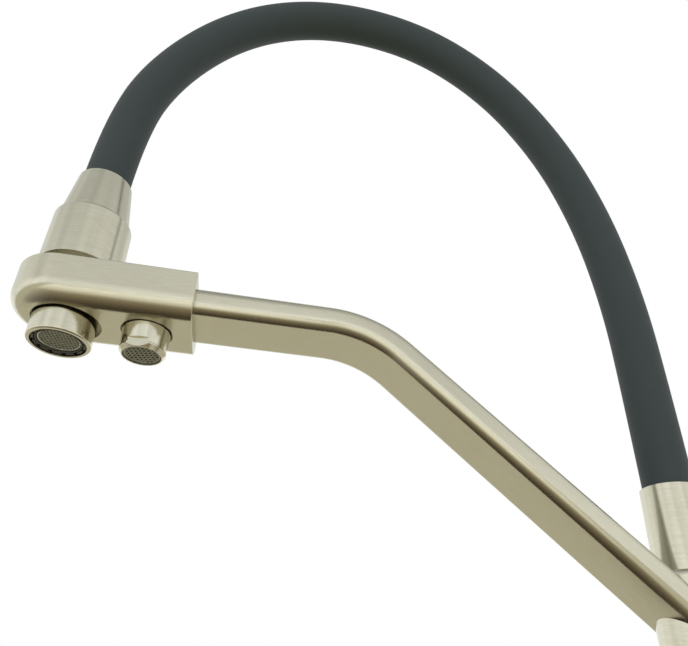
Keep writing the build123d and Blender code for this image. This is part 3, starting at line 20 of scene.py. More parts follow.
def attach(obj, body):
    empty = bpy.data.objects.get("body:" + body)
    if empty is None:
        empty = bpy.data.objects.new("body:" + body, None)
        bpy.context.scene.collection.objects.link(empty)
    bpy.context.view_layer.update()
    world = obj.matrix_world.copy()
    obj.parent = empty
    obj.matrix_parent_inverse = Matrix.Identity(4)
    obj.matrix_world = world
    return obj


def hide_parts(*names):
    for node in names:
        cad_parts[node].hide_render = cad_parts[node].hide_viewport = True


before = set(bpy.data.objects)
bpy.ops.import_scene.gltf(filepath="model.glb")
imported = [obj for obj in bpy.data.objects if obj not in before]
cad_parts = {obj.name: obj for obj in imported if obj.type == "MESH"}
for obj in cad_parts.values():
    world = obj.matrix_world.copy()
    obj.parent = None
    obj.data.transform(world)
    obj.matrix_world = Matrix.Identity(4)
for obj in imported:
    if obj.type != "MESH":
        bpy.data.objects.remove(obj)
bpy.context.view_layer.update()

MM = 0.001
FULL_TURN = 2.0 * np.pi
LOG = logging.getLogger("faucet")


# Shapes

# Points of one piece that lie closer together than this are merged
MERGE_DISTANCE = 1e-6
# Points on an arc of a path and on each straight run beside it
ARC_POINTS = 40
RUN_POINTS = 30


@dataclass
class Patch:
    """A grid of points with a flat coordinate for each, in metres along the surface."""

    points: np.ndarray
    flat: np.ndarray


def make_piece(name: str, patches: Sequence[Patch], sharp: float) -> bpy.types.Object:
    """Joins patches into one mesh whose seams and poles are merged.

    Args:
        name: Name of the object.
        patches: Grids of points; each cell of a grid becomes a four-sided face.
        sharp: Edges that turn by more than this many degrees are drawn sharp.

    Returns:
        The new object, linked to the scene, with a UV map from the flat coordinates.
    """
    verts = []
    flats = []
    faces = []
    start = 0
    for patch in patches:
        rows, cols = patch.points.shape[:2]
        index = np.arange(rows * cols).reshape(rows, cols) + start
        cell = np.stack([index[:-1, :-1], index[:-1, 1:], index[1:, 1:], index[1:, :-1]], axis=-1)
        verts.append(patch.points.reshape(-1, 3))
        flats.append(patch.flat.reshape(-1, 2))
        faces.append(cell.reshape(-1, 4))
        start += rows * cols
    corners = np.concatenate(faces)
    mesh = bpy.data.meshes.new(name)
    mesh.from_pydata(np.concatenate(verts).tolist(), [], corners.tolist())
    layer = mesh.uv_layers.new(name="surface")
    layer.data.foreach_set("uv", np.concatenate(flats)[corners.ravel()].astype(np.float32).ravel())
    work = bmesh.new()
    work.from_mesh(mesh)
    bmesh.ops.remove_doubles(work, verts=work.verts, dist=MERGE_DISTANCE)
    bmesh.ops.recalc_face_normals(work, faces=work.faces)
    work.to_mesh(mesh)
    work.free()
    mesh.shade_smooth()
    mesh.set_sharp_from_angle(angle=math.radians(sharp))
    piece = bpy.data.objects.new(name, mesh)
    bpy.context.scene.collection.objects.link(piece)
    return piece


def run_lengths(points: np.ndarray) -> np.ndarray:
    """Distance along a line of points from its first point to each of them."""
    steps = np.linalg.norm(np.diff(points, axis=0), axis=1)
    return np.concatenate([[0.0], np.cumsum(steps)])


def lathe(profile: np.ndarray, centre: Sequence[float], sides: int) -> Patch:
    """Turns a profile round an upright axis.

    A point of radius r and height z goes to (r cos t, r sin t, z) from the axis's foot, for t from 0 to a
    full turn.

    Args:
        profile: Rows of radius and height, in metres.
        centre: Foot of the axis, in metres.
        sides: Number of faces round the axis.

    Returns:
        The turned patch, whose flat coordinates run round the axis and along the profile.
    """
    turn = np.linspace(0.0, FULL_TURN, sides + 1)
    radius = profile[:, :1]
    height = profile[:, 1:]
    points = np.stack([radius * np.cos(turn), radius * np.sin(turn), height + 0.0 * turn], axis=-1)
    along = run_lengths(profile)[:, None] + 0.0 * turn
    around = np.max(radius) * turn + 0.0 * along
    return Patch(points + np.array(centre), np.stack([around, along], axis=-1))


def rounded_section(width: float, height: float, corner: float, steps: int) -> np.ndarray:
    """Closed outline of a rectangle with round corners: four quarter circles, joined by straight sides.

    Args:
        width: Whole width, in metres.
        height: Whole height, in metres.
        corner: Radius of the corners.
        steps: Points on each corner.

    Returns:
        Rows of width and height from the middle. The last row repeats the first.
    """
    quarter = np.linspace(0.0, np.pi / 2, steps)
    outline = []
    for number, (side, up) in enumerate(((1, 1), (-1, 1), (-1, -1), (1, -1))):
        angle = quarter + number * np.pi / 2
        middle = np.array([side * (width / 2 - corner), up * (height / 2 - corner)])
        outline.append(middle + corner * np.stack([np.cos(angle), np.sin(angle)], axis=-1))
    ring = np.concatenate(outline)
    return np.concatenate([ring, ring[:1]])


def carry(section: np.ndarray, path: np.ndarray) -> Patch:
    """Carries a section along a path in the plane Y = 0.

    The section's first axis is Y and its second stands square to the path's direction.

    Args:
        section: Rows of width and height from the path, in metres.
        path: Rows of X and Z, in metres.

    Returns:
        The carried patch, whose flat coordinates run along the path and round the section.
    """
    way = np.gradient(path, axis=0)
    way = way / np.linalg.norm(way, axis=1, keepdims=True)
    square = np.stack([way[:, 1], -way[:, 0]], axis=-1)
    x = path[:, :1] + square[:, :1] * section[:, 1]
    z = path[:, 1:] + square[:, 1:] * section[:, 1]
    y = section[:, 0] + 0.0 * x
    along = run_lengths(path)[:, None] + 0.0 * x
    around = run_lengths(section) + 0.0 * x
    return Patch(np.stack([x, y, z], axis=-1), np.stack([along, around], axis=-1))


def cap(ring: np.ndarray) -> Patch:
    """Closes the end of a carried patch: straight lines from its ring of points to their middle.

    Args:
        ring: Rows of X, Y and Z round the end.

    Returns:
        The cap, whose flat coordinates are Y and Z.
    """
    middle = np.broadcast_to(ring.mean(axis=0), ring.shape)
    points = np.stack([ring, middle])
    return Patch(points, points[:, :, 1:])


def bent_path(
    foot: Sequence[float],
    corner: Sequence[float],
    end: Sequence[float],
    bend: float,
) -> np.ndarray:
    """A straight run, an arc that touches both runs, and a straight run, as points in the plane Y = 0.

    Args:
        foot: X and Z of the start.
        corner: X and Z where the two runs would meet.
        end: X and Z of the end.
        bend: Radius of the arc.

    Returns:
        Rows of X and Z.
    """
    start, turn, stop = np.array(foot), np.array(corner), np.array(end)
    run_in = (turn - start) / np.linalg.norm(turn - start)
    run_out = (stop - turn) / np.linalg.norm(stop - turn)
    angle = math.acos(float(np.clip(run_in @ run_out, -1.0, 1.0)))
    reach = bend * math.tan(angle / 2)
    first, last = turn - reach * run_in, turn + reach * run_out
    inward = run_out - run_in
    middle = turn + inward / np.linalg.norm(inward) * bend / math.cos(angle / 2)
    sweep = np.linspace(0.0, angle, ARC_POINTS)[:, None]
    spoke = first - middle
    arc = middle + np.cos(sweep) * spoke + np.sin(sweep) * bend * run_in
    run = np.linspace(0.0, 1.0, RUN_POINTS)[:, None]
    return np.concatenate([start + run * (first - start), arc[1:-1], last + run * (stop - last)])


# Finishes

# Sockets of a Mix node that take two colours, and the one that gives their blend
FIRST_COLOUR = 6
SECOND_COLOUR = 7
BLEND = 2
# How many times longer a mark is along the grain than across it
STRETCH = 12.0
# Detail of the noise that draws the marks and of the wider one that draws the clouds
MARK_NOISE: dict[str, float] = {"Scale": 1.0, "Detail": 4.0, "Roughness": 0.6}
CLOUD_NOISE: dict[str, float] = {"Detail": 2.0, "Roughness": 0.5}
# Parts of a noise's range that a change of tone and a change of roughness are spread over
TONE_RANGE: dict[str, float] = {"From Min": 0.35, "From Max": 0.65}
ROUGH_RANGE: dict[str, float] = {"From Min": 0.3, "From Max": 0.7}


def linear(code: str) -> tuple[float, float, float, float]:
    """Turns an sRGB hex colour into a linear colour with full opacity.

    Args:
        code: The colour as a hash sign and six hex digits.

    Returns:
        Linear red, green and blue, and an opacity of 1.
    """
    parts = [int(code[i : i + 2], 16) / 255.0 for i in (1, 3, 5)]
    red, green, blue = [p / 12.92 if p <= 0.04045 else ((p + 0.055) / 1.055) ** 2.4 for p in parts]
    return (red, green, blue, 1.0)


def add_node(
    tree: bpy.types.NodeTree,
    kind: str,
    settings: dict[str | int, Any],
    links: dict[str | int, bpy.types.NodeSocket],
) -> bpy.types.Node:
    """Adds a node to a tree.

    Args:
        tree: The node tree of a material or world.
        kind: Blender's name for the type of node.
        settings: Values by name or number of an input of the node, or else by name of a property of it.
        links: Output sockets by the name or number of the input that they feed.

    Returns:
        The new node.
    """
    node = tree.nodes.new(kind)
    for name, value in settings.items():
        if isinstance(name, int) or name in node.inputs:
            node.inputs[name].default_value = value
        else:
            setattr(node, name, value)
    for name, socket in links.items():
        tree.links.new(socket, node.inputs[name])
    return node


class Grain(Enum):
    """Direction in which the marks of a finish run.

    Each value says how many marks lie in one mark's length along X, Y and Z. For ALONG_SURFACE these are the
    first and second direction of the piece's flat coordinates, which have no third.
    """

    ALONG_X = (1.0, STRETCH, STRETCH)
    ROUND_Z = (1.0, 1.0, STRETCH)
    ROUND_Y = (1.0, STRETCH, 1.0)
    ALONG_SURFACE = (1.0, STRETCH, 0.0)
    EVEN = (STRETCH, STRETCH, STRETCH)


@dataclass(frozen=True)
class Finish:
    """A material of the real object and how its surface was made.

    Attributes:
        name: Name of the material.
        colour: Main sRGB colour.
        second: sRGB colour that marks and faint clouds lean to.
        metallic: 1 for bare metal.
        roughness: Middle roughness.
        spread: How far the roughness varies to each side.
        mark_mm: Distance from one surface mark to the next.
        mark_depth_mm: Depth of the marks.
        relief: Strength of the marks' shading.
        specular: Specular level of the surface.
        cloud_mm: Size of the faint clouds.
        grain: Direction of the marks.
    """

    name: str
    colour: str
    second: str
    metallic: float
    roughness: float
    spread: float
    mark_mm: float
    mark_depth_mm: float
    relief: float
    specular: float = 0.5
    cloud_mm: float = 12.0
    grain: Grain = Grain.EVEN

    def label(self) -> str:
        """Name of the material with its grain."""
        return f"{self.name}_{self.grain.name.lower()}"

    def running(self, grain: Grain) -> "Finish":
        """The same finish with its marks in another direction."""
        return replace(self, grain=grain)

    def tone(
        self,
        tree: bpy.types.NodeTree,
        marks: bpy.types.NodeSocket,
        clouds: bpy.types.NodeSocket,
    ) -> bpy.types.NodeSocket:
        """Blends the two colours by the mean of the marks and the clouds.

        Args:
            tree: The material's node tree.
            marks: Noise of the marks.
            clouds: Noise of the clouds.

        Returns:
            The socket that gives the colour.
        """
        lines = add_node(tree, "ShaderNodeMapRange", TONE_RANGE, {"Value": marks})
        both = add_node(tree, "ShaderNodeMath", {"operation": "ADD"}, {0: lines.outputs["Result"], 1: clouds})
        mean = add_node(
            tree,
            "ShaderNodeMath",
            {"operation": "MULTIPLY", 1: 0.5},
            {0: both.outputs["Value"]},
        )
        blend = add_node(
            tree,
            "ShaderNodeMix",
            {"data_type": "RGBA", FIRST_COLOUR: linear(self.colour), SECOND_COLOUR: linear(self.second)},
            {"Factor": mean.outputs["Value"]},
        )
        return blend.outputs[BLEND]

    def material(self) -> bpy.types.Material:
        """Builds the material, or finds it if it is there already.

        Marks are noise stretched along the grain. They move the roughness and make a fine relief. With the
        clouds, a wider noise, they also move the colour.

        Returns:
            The node material.
        """
        found = bpy.data.materials.get(self.label())
        if found is not None:
            return found
        made = bpy.data.materials.new(self.label())
        made.use_nodes = True
        tree = made.node_tree
        tree.nodes.clear()
        place = add_node(tree, "ShaderNodeTexCoord", {}, {})
        origin = place.outputs["UV" if self.grain is Grain.ALONG_SURFACE else "Object"]
        # One unit of noise is one mark across the grain and STRETCH times as far along it
        scale = [part / STRETCH / (self.mark_mm * MM) for part in self.grain.value]
        stretched = add_node(tree, "ShaderNodeMapping", {"Scale": scale}, {"Vector": origin})
        marks = add_node(tree, "ShaderNodeTexNoise", MARK_NOISE, {"Vector": stretched.outputs["Vector"]})
        clouds = add_node(
            tree,
            "ShaderNodeTexNoise",
            {"Scale": 1.0 / (self.cloud_mm * MM), **CLOUD_NOISE},
            {"Vector": place.outputs["Object"]},
        )
        rough = add_node(
            tree,
            "ShaderNodeMapRange",
            {
                **ROUGH_RANGE,
                "To Min": self.roughness - self.spread,
                "To Max": self.roughness + self.spread,
            },
            {"Value": marks.outputs["Fac"]},
        )
        relief = add_node(
            tree,
            "ShaderNodeBump",
            {"Strength": self.relief, "Distance": self.mark_depth_mm * MM},
            {"Height": marks.outputs["Fac"]},
        )
        shader = add_node(
            tree,
            "ShaderNodeBsdfPrincipled",
            {"Metallic": self.metallic, "Specular IOR Level": self.specular},
            {
                "Base Color": self.tone(tree, marks.outputs["Fac"], clouds.outputs["Fac"]),
                "Roughness": rough.outputs["Result"],
                "Normal": relief.outputs["Normal"],
            },
        )
        add_node(tree, "ShaderNodeOutputMaterial", {}, {"Surface": shader.outputs["BSDF"]})
        return made


# Electroplated satin nickel on brass, brushed before plating: a warm grey metal with a broad soft gloss.
# Real brush lines are under 0.1 mm apart and wouldn't show, so they are drawn 0.5 mm apart.
SATIN_NICKEL = Finish(
    name="satin_nickel",
    colour="#D1CEBF",
    second="#C5C1AF",
    metallic=1.0,
    roughness=0.22,
    spread=0.03,
    mark_mm=0.5,
    mark_depth_mm=0.01,
    relief=0.05,
)
# The same plating on the aerator shells, which are polished brighter before plating
BRIGHT_NICKEL = Finish(
    name="bright_satin_nickel",
    colour="#D6D3C4",
    second="#CAC6B5",
    metallic=1.0,
    roughness=0.18,
    spread=0.03,
    mark_mm=0.4,
    mark_depth_mm=0.01,
    relief=0.04,
)
# Extruded silicone with a matt bloom: a dull dark slate that lightens softly at grazing angles
SILICONE = Finish(
    name="extruded_silicone",
    colour="#333D3F",
    second="#2F383A",
    metallic=0.0,
    roughness=0.60,
    spread=0.05,
    mark_mm=0.35,
    mark_depth_mm=0.02,
    relief=0.15,
    specular=0.30,
)
# Moulded EPDM rubber: nearly black and dull
EPDM = Finish(
    name="moulded_epdm",
    colour="#1D1D1C",
    second="#232322",
    metallic=0.0,
    roughness=0.68,
    spread=0.06,
    mark_mm=0.5,
    mark_depth_mm=0.02,
    relief=0.25,
    specular=0.4,
)
# Extruded EPDM of the water hose: smooth, with a low gloss
HOSE_RUBBER = Finish(
    name="extruded_epdm",
    colour="#262625",
    second="#2B2B2A",
    metallic=0.0,
    roughness=0.5,
    spread=0.05,
    mark_mm=0.6,
    mark_depth_mm=0.02,
    relief=0.15,
    specular=0.45,
)
# Free-cutting brass as it comes off the lathe: yellow, with fine turning rings
BRASS = Finish(
    name="turned_brass",
    colour="#D6B36C",
    second="#CDA860",
    metallic=1.0,
    roughness=0.24,
    spread=0.06,
    mark_mm=0.25,
    mark_depth_mm=0.01,
    relief=0.15,
)
# Stainless steel, pickled and washed: a plain grey with a soft gloss
STAINLESS = Finish(
    name="stainless_steel",
    colour="#BDBDBA",
    second="#B4B4B1",
    metallic=1.0,
    roughness=0.25,
    spread=0.05,
    mark_mm=0.3,
    mark_depth_mm=0.01,
    relief=0.10,
)
# Stainless wire of the outlet screens: drawn bright, with a faint warm tint
WIRE = Finish(
    name="drawn_stainless_wire",
    colour="#C4C5B8",
    second="#BCBCAE",
    metallic=1.0,
    roughness=0.30,
    spread=0.05,
    mark_mm=0.3,
    mark_depth_mm=0.01,
    relief=0.05,
)
# Moulded acetal of the cartridge and the glide ring: milky white with a low waxy gloss
ACETAL = Finish(
    name="moulded_acetal",
    colour="#E7E5DD",
    second="#E1DFD6",
    metallic=0.0,
    roughness=0.42,
    spread=0.04,
    mark_mm=1.2,
    mark_depth_mm=0.01,
    relief=0.08,
)
# Glass-filled nylon of the aerators' flow inserts: dark grey with a fine moulded grain
AERATOR_PLASTIC = Finish(
    name="moulded_nylon",
    colour="#454440",
    second="#4B4A45",
    metallic=0.0,
    roughness=0.45,
    spread=0.05,
    mark_mm=0.4,
    mark_depth_mm=0.01,
    relief=0.10,
)
# Alumina discs, lapped flat: off-white with a soft sheen
ALUMINA = Finish(
    name="lapped_alumina",
    colour="#EFECE2",
    second="#ECE8DC",
    metallic=0.0,
    roughness=0.22,
    spread=0.04,
    mark_mm=0.5,
    mark_depth_mm=0.005,
    relief=0.05,
)
# Extruded polyethylene of the filtered water's tube: cloudy white
POLYETHYLENE = Finish(
    name="extruded_polyethylene",
    colour="#DCE0E0",
    second="#D5DADB",
    metallic=0.0,
    roughness=0.4,
    spread=0.05,
    mark_mm=0.8,
    mark_depth_mm=0.01,
    relief=0.10,
)


# Sub-assemblies


def dress(finish: Finish, *names: str) -> None:
    """Gives CAD nodes a finish through their material slots.

    Args:
        finish: The finish.
        names: Names of the nodes.
    """
    for name in names:
        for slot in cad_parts[name].material_slots:
            slot.material = finish.material()
        LOG.info("dressed %s in %s", name, finish.name)


def place_piece(piece: bpy.types.Object, body: str, finish: Finish) -> bpy.types.Object:
    """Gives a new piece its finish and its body.

    Args:
        piece: The new piece, in place.
        body: CAD body that it moves with.
        finish: Its finish.

    Returns:
        The same piece.
    """
    piece.data.materials.clear()
    piece.data.materials.append(finish.material())
    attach(piece, body)
    LOG.info("made %s on %s in %s", piece.name, body, finish.name)
    return piece


@dataclass
class DeckFixing:
    """Flange, gasket, threaded shank, washers and nut.

    Attributes:
        thread_radius: Outer radius of the thread.
        thread_pitch: Its rise in a full turn.
        thread_depth: Its depth.
        bore_radius: Radius of the shank's bore.
        foot: Height of the shank's lower end.
        top: Height of its upper end.
        sides: Faces round it.
        rows_per_turn: Faces along it in each turn of the thread.
        sharp: Edges that turn by more than this many degrees are drawn sharp.
    """

    thread_radius: float = 16.0 * MM
    thread_pitch: float = 1.5 * MM
    thread_depth: float = 0.75 * MM
    bore_radius: float = 13.5 * MM
    foot: float = -48.0 * MM
    top: float = 20.5 * MM
    sides: int = 72
    rows_per_turn: int = 4
    sharp: float = 50.0

    def shank(self) -> bpy.types.Object:
        """Shank with its thread cut in.

        The radius at angle t and height z is the outer one less the thread's depth times a triangle wave of
        z over the pitch less t over a full turn, which makes a helix. Both ends run out to the thread's root.

        Returns:
            The shank, from its outer surface over both ends to its bore.
        """
        turn = np.linspace(0.0, FULL_TURN, self.sides + 1)
        rows = int((self.top - self.foot) / self.thread_pitch * self.rows_per_turn) + 1
        height = np.linspace(self.foot, self.top, rows)[:, None]
        phase = (height / self.thread_pitch - turn / FULL_TURN) % 1.0
        wave = np.abs(2.0 * phase - 1.0)
        end = np.minimum(height - self.foot, self.top - height)
        fade = np.clip(1.0 - end / self.thread_pitch, 0.0, 1.0)
        radius = self.thread_radius - self.thread_depth * np.maximum(wave, fade)
        outer = np.stack([radius * np.cos(turn), radius * np.sin(turn), height + 0.0 * turn], axis=-1)
        flat = np.stack([self.thread_radius * turn + 0.0 * height, height + 0.0 * turn], axis=-1)
        wall = np.array([[self.bore_radius, self.foot], [self.bore_radius, self.top]])
        bore = lathe(wall, (0, 0, 0), self.sides)
        ends = []
        for outside, inside in ((outer[0], bore.points[0]), (outer[-1], bore.points[-1])):
            ring = np.stack([outside, inside])
            ends.append(Patch(ring, ring[:, :, :2]))
        return make_piece("shank_thread", [Patch(outer, flat), bore, *ends], self.sharp)

    def build(self) -> None:
        """Cuts the shank's thread and dresses what clamps the deck."""
        piece = place_piece(self.shank(), "base", BRASS.running(Grain.ROUND_Z))
        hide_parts("threaded_shank")
        dress(EPDM, "base_gasket", "rubber_washer")
        dress(STAINLESS.running(Grain.ROUND_Z), "steel_washer")
        dress(BRASS.running(Grain.ALONG_X), "shank_nut")
        dress(SATIN_NICKEL.running(Grain.ROUND_Z), "base_flange")


@dataclass
class Body:
    """Body casting with the mixing cartridge, the filtered water valve and the swivel.

    Attributes:
        turned: Finish of the casting.
    """

    turned: Finish = SATIN_NICKEL.running(Grain.ROUND_Z)

    def build(self) -> None:
        """Dresses the casting and everything in it."""
        dress(self.turned, "mixer_body")
        dress(ACETAL, "cartridge_housing", "cartridge_rotor", "disc_carrier", "swivel_glide_ring")
        dress(EPDM, "cartridge_port_seals", "swivel_seals", "filter_seat_seal", "filter_spindle_seal")
        dress(ALUMINA, "fixed_ceramic_disc", "moving_ceramic_disc", "filter_fixed_disc", "filter_moving_disc")
        dress(BRASS.running(Grain.ROUND_Y), "cartridge_nut", "filter_valve_body", "filter_spindle")
        dress(BRASS.running(Grain.ROUND_Z), "swivel_spigot")
        dress(BRASS, "cartridge_stem")
        dress(STAINLESS, "stem_pivot_pin", "swivel_retaining_screw")


@dataclass
class Handles:
    """The mixing handle and the filtered water handle.

    Attributes:
        turned: Finish of the hubs and the cover, which are turned about Y.
        rod: Finish of the levers and the plug, which are turned about Z.
    """

    turned: Finish = SATIN_NICKEL.running(Grain.ROUND_Y)
    rod: Finish = SATIN_NICKEL.running(Grain.ROUND_Z)

    def build(self) -> None:
        """Dresses hubs, dome cover, levers, screws and plug."""
        dress(self.turned, "mixer_handle_hub", "mixer_dome_cover", "filter_handle_hub")
        dress(self.rod, "mixer_lever", "filter_lever", "mixer_screw_plug")
        dress(STAINLESS, "mixer_grub_screw", "filter_grub_screw")


@dataclass
class Spout:
    """Column, flat arm, head block and the filtered water tube inside them.

    Attributes:
        width: Width of the arm.
        height: Its height.
        corner: Radius of its long edges.
        corner_points: Points on each of them.
        foot: X and Z of the start of its middle line, inside the column.
        elbow: X and Z where its slope and its level part would meet.
        end_x: X of its end, inside the head block.
        bend: Radius of its bend.
        sharp: Edges that turn by more than this many degrees are drawn sharp.
    """

    width: float = 29.6 * MM
    height: float = 12.0 * MM
    corner: float = 4.5 * MM
    corner_points: int = 14
    foot: tuple[float, float] = (0.0, 147.2 * MM)
    elbow: tuple[float, float] = (-134.9 * MM, 261.3 * MM)
    end_x: float = -219.5 * MM
    bend: float = 50.0 * MM
    sharp: float = 50.0

    def arm(self) -> bpy.types.Object:
        """Arm with its brushing along its length: a rounded section carried from the column to the head.

        Returns:
            The arm, closed at both ends.
        """
        path = bent_path(self.foot, self.elbow, (self.end_x, self.elbow[1]), self.bend)
        tube = carry(rounded_section(self.width, self.height, self.corner, self.corner_points), path)
        return make_piece("brushed_arm", [tube, cap(tube.points[0]), cap(tube.points[-1])], self.sharp)

    def build(self) -> None:
        """Makes the arm and dresses the column, the head and the tube."""
        piece = place_piece(self.arm(), "spout", SATIN_NICKEL.running(Grain.ALONG_SURFACE))
        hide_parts("spout_arm")
        dress(SATIN_NICKEL.running(Grain.ALONG_X), "head_block")
        dress(SATIN_NICKEL.running(Grain.ROUND_Z), "spout_column")
        dress(POLYETHYLENE, "filtered_water_tube")
        dress(ACETAL, "arm_end_plug")


@dataclass
class Outlet:
    """Aerator of one outlet, with its woven screen.

    Attributes:
        name: Which water it lets out, as in the names of its nodes.
        centre_x: X of its axis.
        screen_radius: Radius of the screen.
        screen_z: Height of the screen.
        pitch: Distance from one wire to the next.
        wire: Radius of the wires.
        rim: Radius of the rolled rim's own section.
        turned_by: Degrees by which the weave is turned about the axis.
        wire_sides: Faces round a wire.
        wire_steps: Points along a wire in each pitch.
        least_steps: Points along the shortest wires.
        rim_sides: Faces round the rim's own section.
        rim_turns: Faces round the outlet's axis.
        sharp: Edges that turn by more than this many degrees are drawn sharp.
    """

    name: str
    centre_x: float
    screen_radius: float
    screen_z: float
    pitch: float
    wire: float
    rim: float
    turned_by: float
    wire_sides: int = 6
    wire_steps: int = 6
    least_steps: int = 8
    rim_sides: int = 12
    rim_turns: int = 72
    sharp: float = 80.0

    def strand(self, offset: float, half: float, under: bool, crossing: bool) -> Patch:
        """One wire of the screen.

        A thin tube along a straight line, whose height is a sine of the distance along it with half a wave in
        each pitch.

        Args:
            offset: Distance of the wire from the middle of the screen.
            half: Half the wire's length.
            under: Whether the sine starts half a wave on, so that the wire goes under first.
            crossing: Whether the wire runs in the second direction.

        Returns:
            The tube, turned about the outlet's axis.
        """
        steps = max(int(2.0 * half / self.pitch * self.wire_steps), self.least_steps)
        ring = np.linspace(0.0, FULL_TURN, self.wire_sides + 1)
        along = np.linspace(-half, half, steps)[:, None]
        shift = np.pi if under else 0.0
        wave = self.wire * np.sin(np.pi * along / self.pitch + shift)
        side = offset + self.wire * np.cos(ring) + 0.0 * along
        lift = wave + self.wire * np.sin(ring)
        x, y = (-side, along + 0.0 * ring) if crossing else (along + 0.0 * ring, side)
        spin = math.radians(self.turned_by)
        turned_x = self.centre_x + x * math.cos(spin) - y * math.sin(spin)
        turned_y = x * math.sin(spin) + y * math.cos(spin)
        points = np.stack([turned_x, turned_y, self.screen_z + lift], axis=-1)
        return Patch(points, points[:, :, :2])

    def screen(self) -> bpy.types.Object:
        """Plain-woven wire screen.

        Neighbouring wires, and the two directions, run half a wave apart, so every wire goes over one and
        under the next. A wire ends where it meets the screen's circle, and one too short to cross another on
        both sides is left out.

        Returns:
            The screen.
        """
        count = int(self.screen_radius / self.pitch)
        patches = []
        for crossing in (False, True):
            for number in range(-count, count + 1):
                offset = number * self.pitch
                half = math.sqrt(max(self.screen_radius**2 - offset**2, 0.0))
                if half < self.pitch:
                    continue
                strand = self.strand(offset, half, (number + crossing) % 2 == 1, crossing)
                patches += [strand, cap(strand.points[0]), cap(strand.points[-1])]
        return make_piece(f"{self.name}_woven_screen", patches, self.sharp)

    def rolled_rim(self) -> bpy.types.Object:
        """Thin ring rolled over the screen's edge: a small circle turned round the outlet's axis.

        Returns:
            The ring.
        """
        turn = np.linspace(0.0, FULL_TURN, self.rim_sides + 1)
        profile = np.stack([self.screen_radius + self.rim * np.cos(turn), self.rim * np.sin(turn)], axis=-1)
        ring = lathe(profile, (self.centre_x, 0.0, self.screen_z), self.rim_turns)
        return make_piece(f"{self.name}_screen_rim", [ring], self.sharp)

    def build(self) -> None:
        """Makes the screen and its rim and dresses the aerator."""
        weave = place_piece(self.screen(), "spout", WIRE)
        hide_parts(f"{self.name}_aerator_mesh")
        place_piece(self.rolled_rim(), "spout", STAINLESS)
        dress(BRIGHT_NICKEL.running(Grain.ROUND_Z), f"{self.name}_aerator_shell")
        dress(AERATOR_PLASTIC, f"{self.name}_aerator_insert")
        dress(EPDM, f"{self.name}_aerator_washer")
        dress(BRASS.running(Grain.ROUND_Z), f"{self.name}_outlet_nipple")


MIXED_OUTLET = Outlet(
    name="mixed",
    centre_x=-259.1 * MM,
    screen_radius=7.95 * MM,
    screen_z=242.35 * MM,
    pitch=0.95 * MM,
    wire=0.15 * MM,
    rim=0.45 * MM,
    turned_by=40.0,
)
FILTERED_OUTLET = Outlet(
    name="filtered",
    centre_x=-226.9 * MM,
    screen_radius=7.0 * MM,
    screen_z=240.35 * MM,
    pitch=1.25 * MM,
    wire=0.17 * MM,
    rim=0.27 * MM,
    turned_by=30.0,
)


@dataclass
class HoseRun:
    """Silicone hose between its two ferrules, with the water hose and its fittings inside.

    Attributes:
        radius: Outer radius of the hose.
        length: Its length along the solid's route. Not used.
        quarter_steps: Steps on a quarter of its round.
        span_steps: Steps along it from one point of the route to the next.
        order: Order of its curve: at 3 the curve is made of pieces of parabolas that join without a corner.
        route: X and Z of the points that the solid's route has too.
    """

    radius: float = 10.3 * MM
    length: float = 0.611
    quarter_steps: int = 14
    span_steps: int = 16
    order: int = 3
    route: tuple[tuple[float, float], ...] = (
        (0.0, 0.190),
        (0.0, 0.249),
        (-0.0012, 0.303),
        (-0.0095, 0.357),
        (-0.0275, 0.4085),
        (-0.0605, 0.456),
        (-0.107, 0.486),
        (-0.1635, 0.489),
        (-0.2115, 0.4635),
        (-0.246, 0.4135),
        (-0.2591, 0.3615),
        (-0.2591, 0.306),
    )

    def hose(self) -> bpy.types.Object:
        """Round tube on a smooth NURBS curve whose control points are the route's points.

        Returns:
            The hose, closed at both ends.
        """
        curve = bpy.data.curves.new("silicone_hose_run", "CURVE")
        curve.dimensions = "3D"
        curve.bevel_depth = self.radius
        curve.bevel_resolution = self.quarter_steps
        curve.resolution_u = self.span_steps
        curve.use_fill_caps = True
        spline = curve.splines.new("NURBS")
        spline.points.add(len(self.route) - 1)
        for point, (x, z) in zip(spline.points, self.route):
            point.co = (x, 0.0, z, 1.0)
        spline.order_u = self.order
        spline.use_endpoint_u = True
        piece = bpy.data.objects.new("silicone_hose_run", curve)
        bpy.context.scene.collection.objects.link(piece)
        return piece

    def build(self) -> None:
        """Makes the hose and dresses its ferrules and what is inside it."""
        piece = place_piece(self.hose(), "spout", SILICONE)
        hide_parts("silicone_hose")
        turned = SATIN_NICKEL.running(Grain.ROUND_Z)
        dress(turned, "hose_collar", "head_hose_ferrule", "body_hose_ferrule", "head_hose_tail")
        dress(BRASS.running(Grain.ROUND_Z), "body_hose_tail")
        dress(HOSE_RUBBER, "inner_water_hose")
        dress(STAINLESS.running(Grain.ROUND_Z), "hose_crimp_sleeves")


# Studio


def stage_sheet(
    name: str,
    sides: tuple[float, float],
    depth: tuple[float, float],
    level: float,
) -> bpy.types.Object:
    """Level four-cornered sheet that belongs to the studio.

    Args:
        name: Name of the object.
        sides: X of its left and right end.
        depth: Y of its front and back end.
        level: Its height.

    Returns:
        The sheet.
    """
    left, right = sides
    front, back = depth
    corners = [(left, front, level), (right, front, level), (right, back, level), (left, back, level)]
    mesh = bpy.data.meshes.new(name)
    mesh.from_pydata(corners, [], [(0, 1, 2, 3)])
    piece = bpy.data.objects.new(name, mesh)
    bpy.context.scene.collection.objects.link(piece)
    return piece


